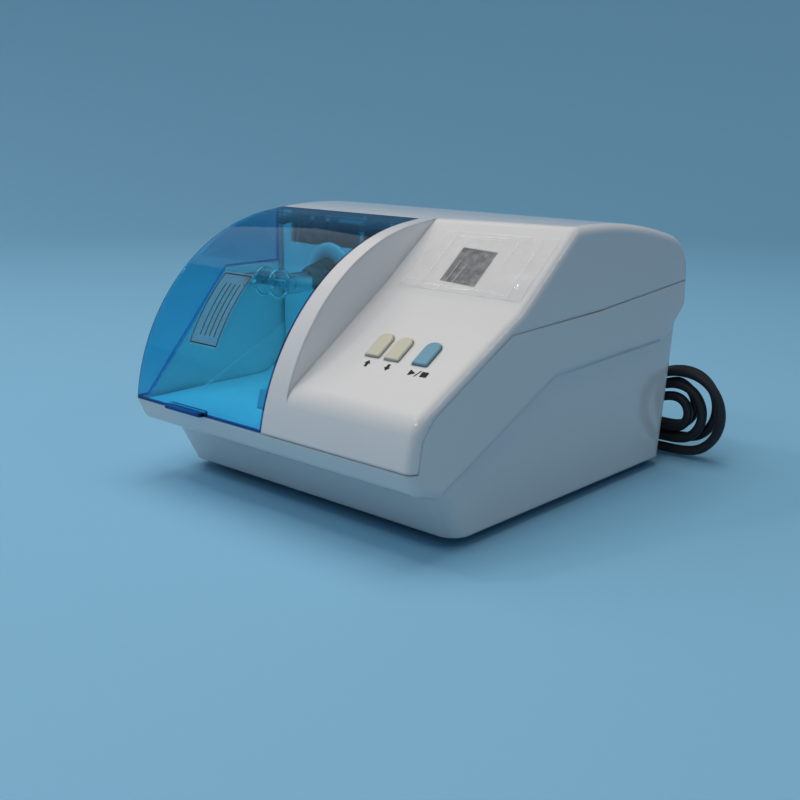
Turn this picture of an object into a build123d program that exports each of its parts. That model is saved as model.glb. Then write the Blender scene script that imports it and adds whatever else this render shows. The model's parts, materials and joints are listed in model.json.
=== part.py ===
"""Bench-top dental amalgamator: a capsule mixer in a moulded housing with a transparent lid.

X runs to the operator's right, Y to the back and Z up.  The origin is on the bench, under the
middle of the machine.  All sizes are millimetres.
"""
from build123d import *
import os
from math import cos, dist, hypot, pi, radians, sin, tan

# ---------------------------------------------------------------- driving dimensions
WIDTH = 220.0                 # over the side walls
REAR_Y = 125.0                # rear wall of the top cover
NOSE_Y = -125.0               # foremost line of the nose
WALL = 2.6                    # moulded wall
FOOT_HEIGHT = 6.0             # bench to the lower edge of the housing
SEAM = 0.5                    # visible joint between two mouldings
TIGHT_SEAM = 0.15             # the same joint beside the control panel
FIT = 0.2                     # slack between fixed pieces
HALF = WIDTH / 2

# side outline of the upper body, as (y, z)
CREASE = (NOSE_Y, 49.0)       # where the lid and the front face meet the nose band
SHOULDER = (-88.5, 121.0)
ARC_END = (-24.0, 151.6)      # the front arc passes into the flat top arc here
TOP_MID = (40.0, 153.7)
TOP_REAR = (98.0, 144.3)
REAR_CORNER = (REAR_Y, 137.3)
REAR_LEDGE = (REAR_Y, 98.0)
LEDGE_CURL = (104.0, 78.7)
LEDGE_KINK = (-9.0, 75.2)
NOSE_BACK = (-103.0, 31.0)
NOSE_LOW = (-119.5, 37.0)
REAR_ROUND = 26.0
CURL_ROUND = 18.0
KINK_ROUND = 8.0
NOSE_ROUND = 7.0
CREASE_ROUND = 4.0
SIDE_ROUND = 5.0              # edges of the front, top and rear faces
FLANK_ROUND = 5.0             # lower edges of the side faces, over the tub

# lower tub: half width, front y, rear y at three heights
TUB_LEVELS = ((FOOT_HEIGHT, 106.8, -88.6, 112.5), (32.0, 107.5, -102.0, 115.4), (98.0, 108.5, -102.0, 122.8))
TUB_ROUND = 11.0
TUB_LEAN = (TUB_LEVELS[2][3] - TUB_LEVELS[0][3]) / (TUB_LEVELS[2][0] - TUB_LEVELS[0][0])

# control panel floor: two slopes that meet in a soft bend, at its left and right sides
SPINE_X = 20.0                # right face of the spine beside the lid
PANEL_LEFT = ((-112.5, 77.6), (-50.0, 119.3), (-4.5, 153.8))
PANEL_RIGHT = ((-118.5, 74.6), (-39.6, 116.3), (5.5, 153.8))
PANEL_BEND = 30.0
PANEL_FRONT_ROUND = 16.0
PANEL_TOP_ROUND = 8.0
PANEL_EDGE_X = HALF + 2       # plane of the right-hand panel profile
PANEL_SKEW = 0.06             # the keys' row runs back a little towards the right
CUT_FRONT = -150.0
CUT_REAR = 45.0
CUT_TOP = 220.0

# lid
LID_EDGE_X = 3.5              # right edge of the lid at the crease
LID_EDGE_LEAN = 0.062
LID_SIDE_FOOT = (-114.0, 49.4)
LID_SIDE_TOP = (-53.0, 118.0)
LID_REAR_Y = -10.2
HINGE = (2.0, 146.0)          # lid hinge axis, parallel to X
HINGE_CLEAR = 12.2            # rear edge of the lid, round the hinge axis
HOUSING_CLEAR = 11.8
LID_SEAM = 0.4

# side seam of the housing, as (y, z)
SEAM_FRONT = (-56.0, 104.9)
SEAM_MID = (28.6, 106.9)
SEAM_REAR = (140.0, 115.0)

# mixing chamber
LINER_FLOOR_Z = 46.0
LINER_WALL = 2.5
LINER_REAR_Y = -9.0
LINER_RIGHT_X = 12.0
LINER_SCOOP = 25.0
OPENING_LOW_Z = 131.0
AXIS_X = -61.0                # drive axis, parallel to Y
AXIS_Z = 114.0
BOOT_HOLE_R = 16.5

# drive
CAN_R = 25.0
CAN_FRONT_Y = 24.0
CAN_REAR_Y = 84.0
SHAFT_R = 4.0
PIVOT_Y = 7.0                 # centre of the skewed bearing
SKEW = 6.0                    # degrees

# cord
CORD_D = 6.0
CORD_R = CORD_D / 2

os.makedirs("parts", exist_ok=True)


def save(piece, name):
    """Label a finished solid and write it."""
    piece.label = name
    export_step(piece, "parts/" + name + ".step")


def lerp(a, b, share):
    return a + (b - a) * share


def lerp_point(p, q, share):
    return (lerp(p[0], q[0], share), lerp(p[1], q[1], share))


def circle_through(a, b, c):
    """Centre and radius of the circle through three (y, z) points."""
    d = 2 * (a[0] * (b[1] - c[1]) + b[0] * (c[1] - a[1]) + c[0] * (a[1] - b[1]))
    sa, sb, sc = (p[0] ** 2 + p[1] ** 2 for p in (a, b, c))
    y = (sa * (b[1] - c[1]) + sb * (c[1] - a[1]) + sc * (a[1] - b[1])) / d
    z = (sa * (c[0] - b[0]) + sb * (a[0] - c[0]) + sc * (b[0] - a[0])) / d
    return (y, z), hypot(a[0] - y, a[1] - z)


ARC_CENTRE, ARC_R = circle_through(CREASE, SHOULDER, ARC_END)


def side_face(x, inset=0.0):
    """Side outline of the upper body on the plane at x, drawn in by inset."""
    with BuildSketch(Plane.YZ.offset(x)) as outline:
        with BuildLine():
            ThreePointArc(CREASE, SHOULDER, ARC_END)
            ThreePointArc(ARC_END, TOP_MID, TOP_REAR)
            Polyline(TOP_REAR, REAR_CORNER, REAR_LEDGE, LEDGE_CURL, LEDGE_KINK, NOSE_BACK, NOSE_LOW, CREASE)
        make_face()
        for point, radius in (
            (REAR_CORNER, REAR_ROUND),
            (LEDGE_CURL, CURL_ROUND),
            (LEDGE_KINK, KINK_ROUND),
            (NOSE_LOW, NOSE_ROUND),
            (CREASE, CREASE_ROUND),
        ):
            fillet(outline.vertices().sort_by_distance(point)[0], radius)
        if inset:
            offset(amount=-inset, mode=Mode.REPLACE)
    return outline.sketch


def face_yz(x, *points):
    """Straight-sided face on the plane at x, from (y, z) points."""
    with BuildSketch(Plane.YZ.offset(x)) as outline:
        with BuildLine():
            Polyline(*points, close=True)
        make_face()
    return outline.sketch


def plan_face(z, half_width, front, rear, radius):
    """Rounded rectangle on the plane at z."""
    with BuildSketch(Plane.XY.offset(z)) as outline:
        with Locations((0, (front + rear) / 2)):
            RectangleRounded(2 * half_width, rear - front, radius)
    return outline.sketch


def lowered(profile, drop):
    """Panel profile moved drop into the body, at right angles to its two slopes."""
    lines = []
    for p, q in ((profile[0], profile[1]), (profile[1], profile[2])):
        run = hypot(q[0] - p[0], q[1] - p[1])
        shift = ((q[1] - p[1]) / run * drop, -(q[0] - p[0]) / run * drop)
        slope = (q[1] - p[1]) / (q[0] - p[0])
        lines.append((p[0] + shift[0], p[1] + shift[1], slope))
    (y1, z1, s1), (y2, z2, s2) = lines
    bend_y = (z2 - z1 + s1 * y1 - s2 * y2) / (s1 - s2)
    bend = (bend_y, z1 + s1 * (bend_y - y1))
    front = (CUT_FRONT, bend[1] + s1 * (CUT_FRONT - bend_y))
    rear = (CUT_REAR, bend[1] + s2 * (CUT_REAR - bend_y))
    return front, bend, rear


def panel_cutter(left_x, right_x, drop):
    """Everything above the panel floor, between two planes across X."""
    with BuildPart() as cutter:
        for x, profile in ((left_x, PANEL_LEFT), (right_x, PANEL_RIGHT)):
            front, bend, rear = lowered(profile, drop)
            with BuildSketch(Plane.YZ.offset(x)) as section_face:
                with BuildLine():
                    Polyline(front, bend, rear, (CUT_REAR, CUT_TOP), (CUT_FRONT, CUT_TOP), close=True)
                make_face()
                fillet(section_face.vertices().sort_by_distance(bend)[0], PANEL_BEND)
        loft(ruled=True)
    return cutter.part


def panel_plane(x, y):
    """Plane on the panel floor at x, y: its normal points out and its x axis runs to the right."""
    def height(px, py):
        share = (px - SPINE_X) / (PANEL_EDGE_X - SPINE_X)
        ends = [lerp_point(p, q, share) for p, q in zip(lowered(PANEL_LEFT, 0), lowered(PANEL_RIGHT, 0))]
        low, high = (ends[0], ends[1]) if py < ends[1][0] else (ends[1], ends[2])
        return lerp(low[1], high[1], (py - low[0]) / (high[0] - low[0]))

    slope_x = (height(x + 1, y) - height(x - 1, y)) / 2
    slope_y = (height(x, y + 1) - height(x, y - 1)) / 2
    across = Vector(1, PANEL_SKEW, slope_x + slope_y * PANEL_SKEW)
    return Plane(origin=(x, y, height(x, y)), x_dir=across, z_dir=Vector(-slope_x, -slope_y, 1))


# ---------------------------------------------------------------- housing, as outer body less cavity
CUT_BACK = CUT_REAR + 100
TUB_LIMIT = ((CUT_FRONT, 0), (CUT_FRONT, 69), (-60, 69), (-30, 84), (92, 97), (CUT_BACK, 97), (CUT_BACK, 0))


def tub(inset):
    """Lower tub as three rounded rectangles, one above the other, cut to lie inside the upper body."""
    with BuildPart() as body:
        for z, half_width, front, rear in TUB_LEVELS:
            add(plan_face(z, half_width - inset, front + inset, rear - inset, TUB_ROUND - inset))
        loft(ruled=True)
        if inset:
            # the cavity is open at the bottom
            half_width, front, rear = TUB_LEVELS[0][1:]
            bottom = plan_face(0, half_width - inset, front + inset, rear - inset, TUB_ROUND - inset)
            extrude(bottom, amount=FOOT_HEIGHT + 0.01)
        extrude(face_yz(-HALF - 10, *TUB_LIMIT), amount=WIDTH + 20, mode=Mode.INTERSECT)
    return body.part


def edge_near(edges, x_span, point, reach):
    """Edges whose middle lies in the x span and within reach of the (y, z) point."""
    def close(edge):
        middle = edge.center()
        return x_span[0] < middle.X < x_span[1] and hypot(middle.Y - point[0], middle.Z - point[1]) < reach

    return edges.filter_by(close)


def on_upper_rim(edge):
    """True for edges of a side face that run over the front, the top and the rear."""
    middle = edge.center()
    if abs(middle.X) < HALF - 0.5:
        return False
    if middle.Y > REAR_Y - 1:
        return middle.Z > REAR_LEDGE[1]
    if middle.Z > 110 or middle.Y < NOSE_BACK[0] - 4:
        return True
    return edge_over_panel(middle)


def on_flank(edge):
    """True for the lower edges of the side faces."""
    return abs(edge.center().X) > HALF - 0.5 and not on_upper_rim(edge)


def edge_over_panel(middle):
    """True for the middle of an edge that lies on the panel's right side."""
    front, bend = PANEL_RIGHT[:2]
    line = lerp(front[1], bend[1], (middle.Y - front[0]) / (bend[0] - front[0]))
    return abs(middle.Z - line) < 8 and middle.Y < PANEL_RIGHT[1][0] + 5


with BuildPart() as outer_body:
    extrude(side_face(-HALF), amount=WIDTH)
    add(panel_cutter(SPINE_X, PANEL_EDGE_X, 0), mode=Mode.SUBTRACT)
    fillet(edge_near(outer_body.edges(), (40, 90), (-119.4, 73.5), 3), PANEL_FRONT_ROUND)
    fillet(edge_near(outer_body.edges(), (40, 90), (0.7, 153.9), 3), PANEL_TOP_ROUND)
    fillet(outer_body.faces().sort_by(Axis.X)[-1].edges().filter_by(on_upper_rim), SIDE_ROUND)
    fillet(outer_body.faces().sort_by(Axis.X)[0].edges().filter_by(on_upper_rim), SIDE_ROUND)
    fillet(outer_body.edges().filter_by(on_flank), FLANK_ROUND)
    add(tub(0))

with BuildPart() as cavity:
    extrude(side_face(-HALF + WALL, WALL), amount=WIDTH - 2 * WALL)
    add(panel_cutter(SPINE_X - WALL, PANEL_EDGE_X, WALL), mode=Mode.SUBTRACT)
    add(tub(WALL))

with BuildPart() as shell:
    add(outer_body.part)
    add(cavity.part, mode=Mode.SUBTRACT)


def slanted_block(gap):
    """Everything on the lid's side of its leaning right edge, drawn back by gap."""
    low_z, high_z = -10.0, CUT_TOP

    def edge_x(z):
        return LID_EDGE_X + LID_EDGE_LEAN * (z - CREASE[1]) - gap

    with BuildPart() as block:
        with BuildSketch(Plane.XZ.offset(CUT_BACK)):
            with BuildLine():
                Polyline((-HALF - 10, low_z), (edge_x(low_z), low_z), (edge_x(high_z), high_z),
                         (-HALF - 10, high_z), close=True)
            make_face()
        extrude(amount=-2 * CUT_BACK)
    return block.part


def lower_side_line(gap):
    """Upper limit of the lower housing beside the lid, as (y, z) points raised by gap."""
    return (
        (CUT_FRONT, CREASE[1] + gap),
        (LID_SIDE_FOOT[0] - gap, CREASE[1] + gap),
        (LID_SIDE_TOP[0] - gap * 0.4, LID_SIDE_TOP[1] + gap),
        (LID_REAR_Y + LID_SEAM + gap, LID_SIDE_TOP[1] + gap),
        (LID_REAR_Y + LID_SEAM + gap, lerp(SEAM_MID[1], SEAM_FRONT[1], 0.5) + gap),
        (SEAM_MID[0], SEAM_MID[1] + gap),
        (SEAM_REAR[0], SEAM_REAR[1] + gap),
    )


def panel_side_line(gap, tight):
    """Upper limit of the lower housing under the panel, as (y, z) points raised by gap, or by tight there."""
    drop = SIDE_ROUND + 0.5
    front, bend, _ = lowered(PANEL_RIGHT, drop)
    slope = (bend[1] - front[1]) / (bend[0] - front[0])
    start_y = CREASE[0] + drop

    def edge_z(y):
        return bend[1] + slope * (y - bend[0])

    meet_y = bend[0] + (SEAM_FRONT[1] - bend[1]) / slope
    return (
        (CUT_FRONT, CREASE[1] + gap),
        (start_y, CREASE[1] + gap),
        (start_y + drop / 2, edge_z(start_y + drop / 2) - drop + tight),
        (start_y + 2 * drop, edge_z(start_y + 2 * drop) + tight),
        (meet_y, SEAM_FRONT[1] + tight),
        (SEAM_MID[0], SEAM_MID[1] + gap),
        (SEAM_REAR[0], SEAM_REAR[1] + gap),
    )


def below(line, low_x, high_x):
    """Solid under a (y, z) line, between two planes across X."""
    points = line + ((line[-1][0], -10.0), (line[0][0], -10.0))
    return extrude(face_yz(low_x, *points), amount=high_x - low_x)


def hinge_disc(radius, high_y, low_z):
    """Room round the hinge axis: a cylinder along X and the block between it and the chamber wall."""
    with BuildPart() as room:
        with BuildSketch(Plane.YZ.offset(-HALF - 10)):
            with Locations(HINGE):
                Circle(radius)
            with BuildLine():
                Polyline((high_y, low_z), (REAR_Y + 50, low_z), (REAR_Y + 50, CUT_TOP), (HINGE[0], CUT_TOP),
                         (HINGE[0], HINGE[1]), (high_y, HINGE[1]), close=True)
            make_face()
        extrude(amount=WIDTH + 20)
    return room.part


SPLIT_X = 12.0                # between the lid's edge and the spine's right face
lower_left = below(lower_side_line(0), -HALF - 10, SPLIT_X)
lower_right = below(panel_side_line(0, 0), SPLIT_X, HALF + 10)
raised_left = below(lower_side_line(SEAM), -HALF - 10, SPLIT_X)
raised_right = below(panel_side_line(SEAM, TIGHT_SEAM), SPLIT_X, HALF + 10)
# everything behind the lid's rear edge
behind_lid = hinge_disc(HINGE_CLEAR, LID_REAR_Y, -10.0)
behind_seam = hinge_disc(HOUSING_CLEAR, LID_REAR_Y + LID_SEAM, -10.0)

# ---------------------------------------------------------------- keys, display: sizes on the panel
KEY_WIDTH = 9.2
KEY_LENGTH = 17.0
KEY_PROUD = 1.6
KEY_GAP = 0.35
KEY_PLACES = {"button_up": (50.6, -82.1), "button_down": (63.5, -81.7), "button_start": (81.5, -80.5)}
FLANGE = 1.2                  # rim under the panel that holds a key or the window
STEM_END = 6.2                # panel surface to the end of a key's stem
BOARD_DEPTH = 12.4            # panel surface to the top of the control board
BOARD_THICK = 1.6
WINDOW_PLACE = (62.5, -26.7)
WINDOW_WIDTH = 22.0
WINDOW_LENGTH = 25.0


def key_outline(grow):
    """D-shaped key: flat at the front, round at the back."""
    side = KEY_WIDTH / 2 + grow
    front = -KEY_LENGTH / 2 - grow
    round_start = (KEY_LENGTH - KEY_WIDTH) / 2
    with BuildLine() as border:
        Polyline((-side, round_start), (-side, front), (side, front), (side, round_start))
        ThreePointArc((side, round_start), (0, KEY_LENGTH / 2 + grow), (-side, round_start))
    make_face(border.edges())


def panel_prism(place, draw, start, end):
    """Prism square to the panel floor, from start to end along the outward normal."""
    plane = panel_plane(*place)
    with BuildPart() as prism:
        with BuildSketch(plane.offset(start)):
            draw()
        extrude(amount=end - start)
    return prism.part


def window_outline(grow):
    Rectangle(WINDOW_WIDTH + 2 * grow, WINDOW_LENGTH + 2 * grow)


# ---------------------------------------------------------------- mouldings
with BuildPart() as lid:
    add(shell.part)
    add(slanted_block(LID_SEAM / 2), mode=Mode.INTERSECT)
    add(raised_left, mode=Mode.SUBTRACT)
    add(behind_lid, mode=Mode.SUBTRACT)
    # finger tab on the lower edge
    with BuildSketch(Plane.XY.offset(CREASE[1] + SEAM)):
        with Locations((-60.5, NOSE_Y + 1.0)):
            RectangleRounded(33.0, 8.0, 2.0)
    extrude(amount=2.2)
save(lid.part, "lid")

with BuildPart() as top_cover:
    add(shell.part)
    add(raised_left, mode=Mode.SUBTRACT)
    add(raised_right, mode=Mode.SUBTRACT)
    add(slanted_block(-LID_SEAM / 2) - behind_seam, mode=Mode.SUBTRACT)
    for place in KEY_PLACES.values():
        add(panel_prism(place, lambda: key_outline(KEY_GAP), -8, 8), mode=Mode.SUBTRACT)
    add(panel_prism(WINDOW_PLACE, lambda: window_outline(FIT), -8, 8), mode=Mode.SUBTRACT)
save(top_cover.part, "top_cover")

# base plate and what it carries
PLATE_LOW = FOOT_HEIGHT + 1.0
PLATE_THICK = 2.0
PLATE_TOP = PLATE_LOW + PLATE_THICK
BOSS_PLACES = [(sx * 97.5, y) for sx in (-1, 1) for y in (-62.0, 96.0)]
BOSS_R = 5.5
SCREW_R = 1.5
FOOT_PLACES = [(sx * 84.0, y) for sx in (-1, 1) for y in (-66.0, 90.0)]


def rear_plane(x, z):
    """Plane on the leaning rear wall of the tub; its normal points back and out."""
    y = TUB_LEVELS[0][3] + (z - FOOT_HEIGHT) * TUB_LEAN
    return Plane(origin=(x, y, z), x_dir=(-1, 0, 0), z_dir=(0, 1, -TUB_LEAN))


GLAND_PLACE = (-85.0, 34.0)
SWITCH_PLACE = (20.0, 46.0)
FUSE_PLACE = (62.0, 46.0)
SWITCH_SIZE = (27.0, 19.0)
SWITCH_RIM = 3.0              # bezel wider than the body
SWITCH_PLAY = 0.4             # body smaller than its opening
SWITCH_WALLS = (4.0, 2.6)     # both walls of the body together, across and up
GLAND_R = 6.0
FUSE_R = 6.5

with BuildPart() as lower_housing:
    add(shell.part)
    add(lower_left + lower_right, mode=Mode.INTERSECT)
    # screw bosses, joined to the side walls
    with BuildSketch(Plane.XY.offset(PLATE_TOP)):
        for sx in (-1, 1):
            for y in (-62.0, 96.0):
                with Locations((sx * 97.5, y)):
                    Circle(BOSS_R)
                with Locations((sx * 101.5, y)):
                    Rectangle(8.0, 3.0)
    extrude(amount=22)
    with BuildSketch(Plane.XY.offset(PLATE_TOP - 1)):
        with Locations(*BOSS_PLACES):
            Circle(SCREW_R)
    extrude(amount=12, mode=Mode.SUBTRACT)
    with BuildSketch(rear_plane(*SWITCH_PLACE).offset(-8)):
        Rectangle(*SWITCH_SIZE)
    extrude(amount=16, mode=Mode.SUBTRACT)
    for place, radius in ((GLAND_PLACE, GLAND_R), (FUSE_PLACE, FUSE_R)):
        with BuildSketch(rear_plane(*place).offset(-8)):
            Circle(radius)
        extrude(amount=16, mode=Mode.SUBTRACT)
save(lower_housing.part, "lower_housing")

with BuildPart() as base_plate:
    with BuildSketch(Plane.XY.offset(PLATE_LOW)):
        z, half_width, front, rear = TUB_LEVELS[0]
        with Locations((0, (front + rear) / 2)):
            RectangleRounded(2 * (half_width - WALL - 0.3), rear - front - 2 * (WALL + 0.3), TUB_ROUND - WALL)
        with Locations(*BOSS_PLACES):
            Circle(SCREW_R + 0.2, mode=Mode.SUBTRACT)
        with Locations(*FOOT_PLACES):
            Circle(SCREW_R + 0.2, mode=Mode.SUBTRACT)
        with Locations((-61, -40), (-61, -20), (60, 0), (60, 20)):
            SlotOverall(50, 4, mode=Mode.SUBTRACT)
    extrude(amount=PLATE_THICK)
save(base_plate.part, "base_plate")

for number, (x, y) in enumerate(FOOT_PLACES, 1):
    with BuildPart() as foot:
        with BuildSketch(Plane.XY):
            with Locations((x, y)):
                Circle(8.0)
        with BuildSketch(Plane.XY.offset(PLATE_LOW)):
            with Locations((x, y)):
                Circle(9.5)
        loft()
        with BuildSketch(Plane.XY):
            with Locations((x, y)):
                Circle(3.4)
        extrude(amount=4.0, mode=Mode.SUBTRACT)
        with BuildSketch(Plane.XY):
            with Locations((x, y)):
                Circle(SCREW_R + 0.1)
        extrude(amount=PLATE_LOW, mode=Mode.SUBTRACT)
    save(foot.part, "rubber_foot_%d" % number)


def screws(places, low, head_r, head_h, shank_r, length):
    """Group of identical screws that stand upright, heads down at the height low."""
    with BuildPart() as group:
        with BuildSketch(Plane.XY.offset(low)):
            with Locations(*places):
                Circle(head_r)
        extrude(amount=head_h)
        with BuildSketch(Plane.XY.offset(low)):
            with Locations(*places):
                Circle(1.1)
        extrude(amount=head_h * 0.45, mode=Mode.SUBTRACT)
        with BuildSketch(Plane.XY.offset(low + head_h)):
            with Locations(*places):
                Circle(shank_r)
        extrude(amount=length)
    return group.part


save(screws(BOSS_PLACES, PLATE_LOW - 2.2, 2.9, 2.2, SCREW_R, 11.0), "base_screws")
save(screws(FOOT_PLACES, 1.6, 2.9, 2.4, SCREW_R, 7.5), "foot_screws")

# ---------------------------------------------------------------- mixing chamber
LINER_LEFT_X = -104.4
LINER_FRONT_Y = -118.0
LINER_TOP_Z = 149.6
with BuildPart() as chamber_liner:
    back = LINER_REAR_Y + LINER_WALL
    # right wall beside the spine, under the lid's right edge
    with BuildSketch(Plane.YZ.offset(LINER_RIGHT_X)):
        with BuildLine():
            Polyline((LINER_FRONT_Y, LINER_FLOOR_Z), (back, LINER_FLOOR_Z), (back, LINER_TOP_Z),
                     (LINER_FRONT_Y, LINER_TOP_Z), close=True)
        make_face()
        with Locations(ARC_CENTRE):
            Circle(ARC_R - WALL - 0.4, mode=Mode.INTERSECT)
    extrude(amount=LINER_WALL)
    # floor, scooped up into the rear wall
    with BuildSketch(Plane.YZ.offset(LINER_LEFT_X)):
        low = LINER_FLOOR_Z
        bend = low + LINER_SCOOP
        with BuildLine():
            Polyline((LINER_FRONT_Y, low), (back - LINER_SCOOP, low))
            RadiusArc((back - LINER_SCOOP, low), (back, bend), -LINER_SCOOP)
            Polyline((back, bend), (back, LINER_TOP_Z), (LINER_REAR_Y, LINER_TOP_Z), (LINER_REAR_Y, bend))
            RadiusArc((LINER_REAR_Y, bend), (back - LINER_SCOOP, low + LINER_WALL), LINER_SCOOP - LINER_WALL)
            Polyline((back - LINER_SCOOP, low + LINER_WALL), (LINER_FRONT_Y, low + LINER_WALL),
                     (LINER_FRONT_Y, low))
        make_face()
    extrude(amount=LINER_RIGHT_X + LINER_WALL - LINER_LEFT_X)
    # mouth for the hinge arms
    with BuildSketch(Plane.XZ.offset(-LINER_REAR_Y - LINER_WALL - 1)):
        with BuildLine():
            Polyline((-97, OPENING_LOW_Z), (5, OPENING_LOW_Z), (5, 160), (-97, 160), close=True)
        make_face()
    extrude(amount=LINER_WALL + 2, mode=Mode.SUBTRACT)
    with BuildSketch(Plane.XZ.offset(-LINER_REAR_Y - LINER_WALL - 1)):
        with Locations((AXIS_X, AXIS_Z)):
            Circle(BOOT_HOLE_R)
    extrude(amount=LINER_WALL + 2, mode=Mode.SUBTRACT)
save(chamber_liner.part, "chamber_liner")

# ---------------------------------------------------------------- lid hinge
PIN_R = 2.0
PIN_X = (-99.0, 8.0)
ARM_X = (-83.0, -15.0)
ARM_WIDTH = 6.0
LUG_X = (-97.0, -40.0, 3.0)
LUG_WIDTH = 3.0
BAND_IN = 13.5
BAND_OUT = 16.5
with BuildPart() as hinge_pin:
    with BuildSketch(Plane.YZ.offset(PIN_X[0])):
        with Locations(HINGE):
            Circle(PIN_R)
    extrude(amount=PIN_X[1] - PIN_X[0])
save(hinge_pin.part, "hinge_pin")

for name, arm_x in zip(("lid_hinge_arm_left", "lid_hinge_arm_right"), ARM_X):
    with BuildPart() as arm:
        with BuildSketch(Plane.YZ.offset(arm_x)):
            # pad under the lid's skin
            with Locations(ARC_CENTRE):
                Circle(ARC_R - WALL - 0.05)
                Circle(ARC_R - WALL - 3.2, mode=Mode.SUBTRACT)
            with Locations((-22.0, ARC_CENTRE[1] + ARC_R - 10)):
                Rectangle(20.0, 40.0, mode=Mode.INTERSECT)
            # curved neck round the hinge axis
            with BuildSketch(mode=Mode.PRIVATE) as neck:
                with Locations(HINGE):
                    Circle(BAND_OUT)
                    Circle(BAND_IN, mode=Mode.SUBTRACT)
                with BuildLine():
                    Polyline(HINGE, (HINGE[0] - 40, HINGE[1] + 7.0), (HINGE[0] - 40, HINGE[1] - 40),
                             (HINGE[0], HINGE[1] - 40), close=True)
                make_face(mode=Mode.INTERSECT)
            add(neck.sketch)
            # strut and hub
            with Locations((HINGE[0], HINGE[1] - BAND_OUT / 2)):
                Rectangle(4.0, BAND_OUT)
            with Locations(HINGE):
                Circle(4.4)
                Circle(PIN_R + 0.05, mode=Mode.SUBTRACT)
        extrude(amount=ARM_WIDTH)
    save(arm.part, name)

with BuildPart() as hinge_bracket:
    wall_y = LINER_REAR_Y + LINER_WALL
    with BuildSketch(Plane.XY.offset(119.0)):
        with Locations(((LUG_X[0] + LUG_X[2] + LUG_WIDTH) / 2, wall_y + 1.0)):
            Rectangle(LUG_X[2] + LUG_WIDTH - LUG_X[0], 2.0)
    extrude(amount=9.0)
    for lug_x in LUG_X:
        with BuildSketch(Plane.YZ.offset(lug_x)):
            with BuildLine():
                Polyline((wall_y, 119.0), (HINGE[0] + 4.2, 119.0), (HINGE[0] + 4.2, HINGE[1] + 4.2),
                         (HINGE[0] - 4.2, HINGE[1] + 4.2), (wall_y, 128.0), close=True)
            make_face()
            with Locations(HINGE):
                Circle(PIN_R, mode=Mode.SUBTRACT)
        extrude(amount=LUG_WIDTH)
save(hinge_bracket.part, "hinge_bracket")

# ---------------------------------------------------------------- keys, switches, display
PLUNGER_GAP = 0.6
SWITCH_BODY = 3.6

for name, place in KEY_PLACES.items():
    plane = panel_plane(*place)
    with BuildPart() as key:
        with BuildSketch(plane.offset(-WALL - 0.3 - FLANGE)):
            key_outline(1.2)
        extrude(amount=FLANGE)
        with BuildSketch(plane.offset(-WALL - 0.3)):
            key_outline(0)
        extrude(amount=WALL + 0.3 + KEY_PROUD)
        fillet(key.faces().sort_by(lambda f: (f.center() - plane.origin).dot(plane.z_dir))[-1].edges(), 0.7)
        with BuildSketch(plane.offset(-STEM_END)):
            Circle(2.0)
        extrude(amount=STEM_END - WALL - 0.3 - FLANGE)
    save(key.part, name)
    with BuildPart() as tact_switch:
        with BuildSketch(plane.offset(-BOARD_DEPTH + 0.5)):
            Rectangle(6.0, 6.0)
        extrude(amount=SWITCH_BODY)
        with BuildSketch(plane.offset(-BOARD_DEPTH + 0.5 + SWITCH_BODY)):
            Circle(1.7)
        extrude(amount=BOARD_DEPTH - 0.5 - SWITCH_BODY - STEM_END - PLUNGER_GAP)
    save(tact_switch.part, name.replace("button", "tact_switch"))

BOARD_PLACE = (65.0, -81.5)
BOARD_SIZE = (64.0, 36.0)
BOARD_HOLES = (56.0, 28.0)
board_plane = panel_plane(*BOARD_PLACE)
with BuildPart() as control_board:
    with BuildSketch(board_plane.offset(-BOARD_DEPTH - BOARD_THICK)):
        RectangleRounded(BOARD_SIZE[0], BOARD_SIZE[1], 2.0)
        with GridLocations(BOARD_HOLES[0], BOARD_HOLES[1], 2, 2):
            Circle(1.6, mode=Mode.SUBTRACT)
    extrude(amount=BOARD_THICK)
    # connector and processor on the lower side
    with BuildSketch(board_plane.offset(-BOARD_DEPTH - BOARD_THICK - 3.0)):
        Rectangle(12.0, 12.0)
        with Locations((20.0, 0.0)):
            Rectangle(5.0, 20.0)
    extrude(amount=3.0)
save(control_board.part, "control_board")

with BuildPart() as board_screws:
    with BuildSketch(board_plane.offset(-BOARD_DEPTH)):
        with GridLocations(BOARD_HOLES[0], BOARD_HOLES[1], 2, 2):
            Circle(2.6)
    extrude(amount=2.0)
    with BuildSketch(board_plane.offset(-BOARD_DEPTH - BOARD_THICK - 4.0)):
        with GridLocations(BOARD_HOLES[0], BOARD_HOLES[1], 2, 2):
            Circle(1.4)
    extrude(amount=BOARD_THICK + 4.0)
save(board_screws.part, "board_screws")

window_plane = panel_plane(*WINDOW_PLACE)
with BuildPart() as display_window:
    with BuildSketch(window_plane.offset(-WALL - 1.2)):
        window_outline(1.6)
    extrude(amount=1.0)
    with BuildSketch(window_plane.offset(-WALL - 0.2)):
        window_outline(0)
    extrude(amount=WALL)
save(display_window.part, "display_window")

with BuildPart() as display_module:
    with BuildSketch(window_plane.offset(-WALL - 9.5)):
        Rectangle(WINDOW_WIDTH + 2.0, WINDOW_LENGTH + 1.0)
    extrude(amount=8.0)
save(display_module.part, "display_module")

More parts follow.
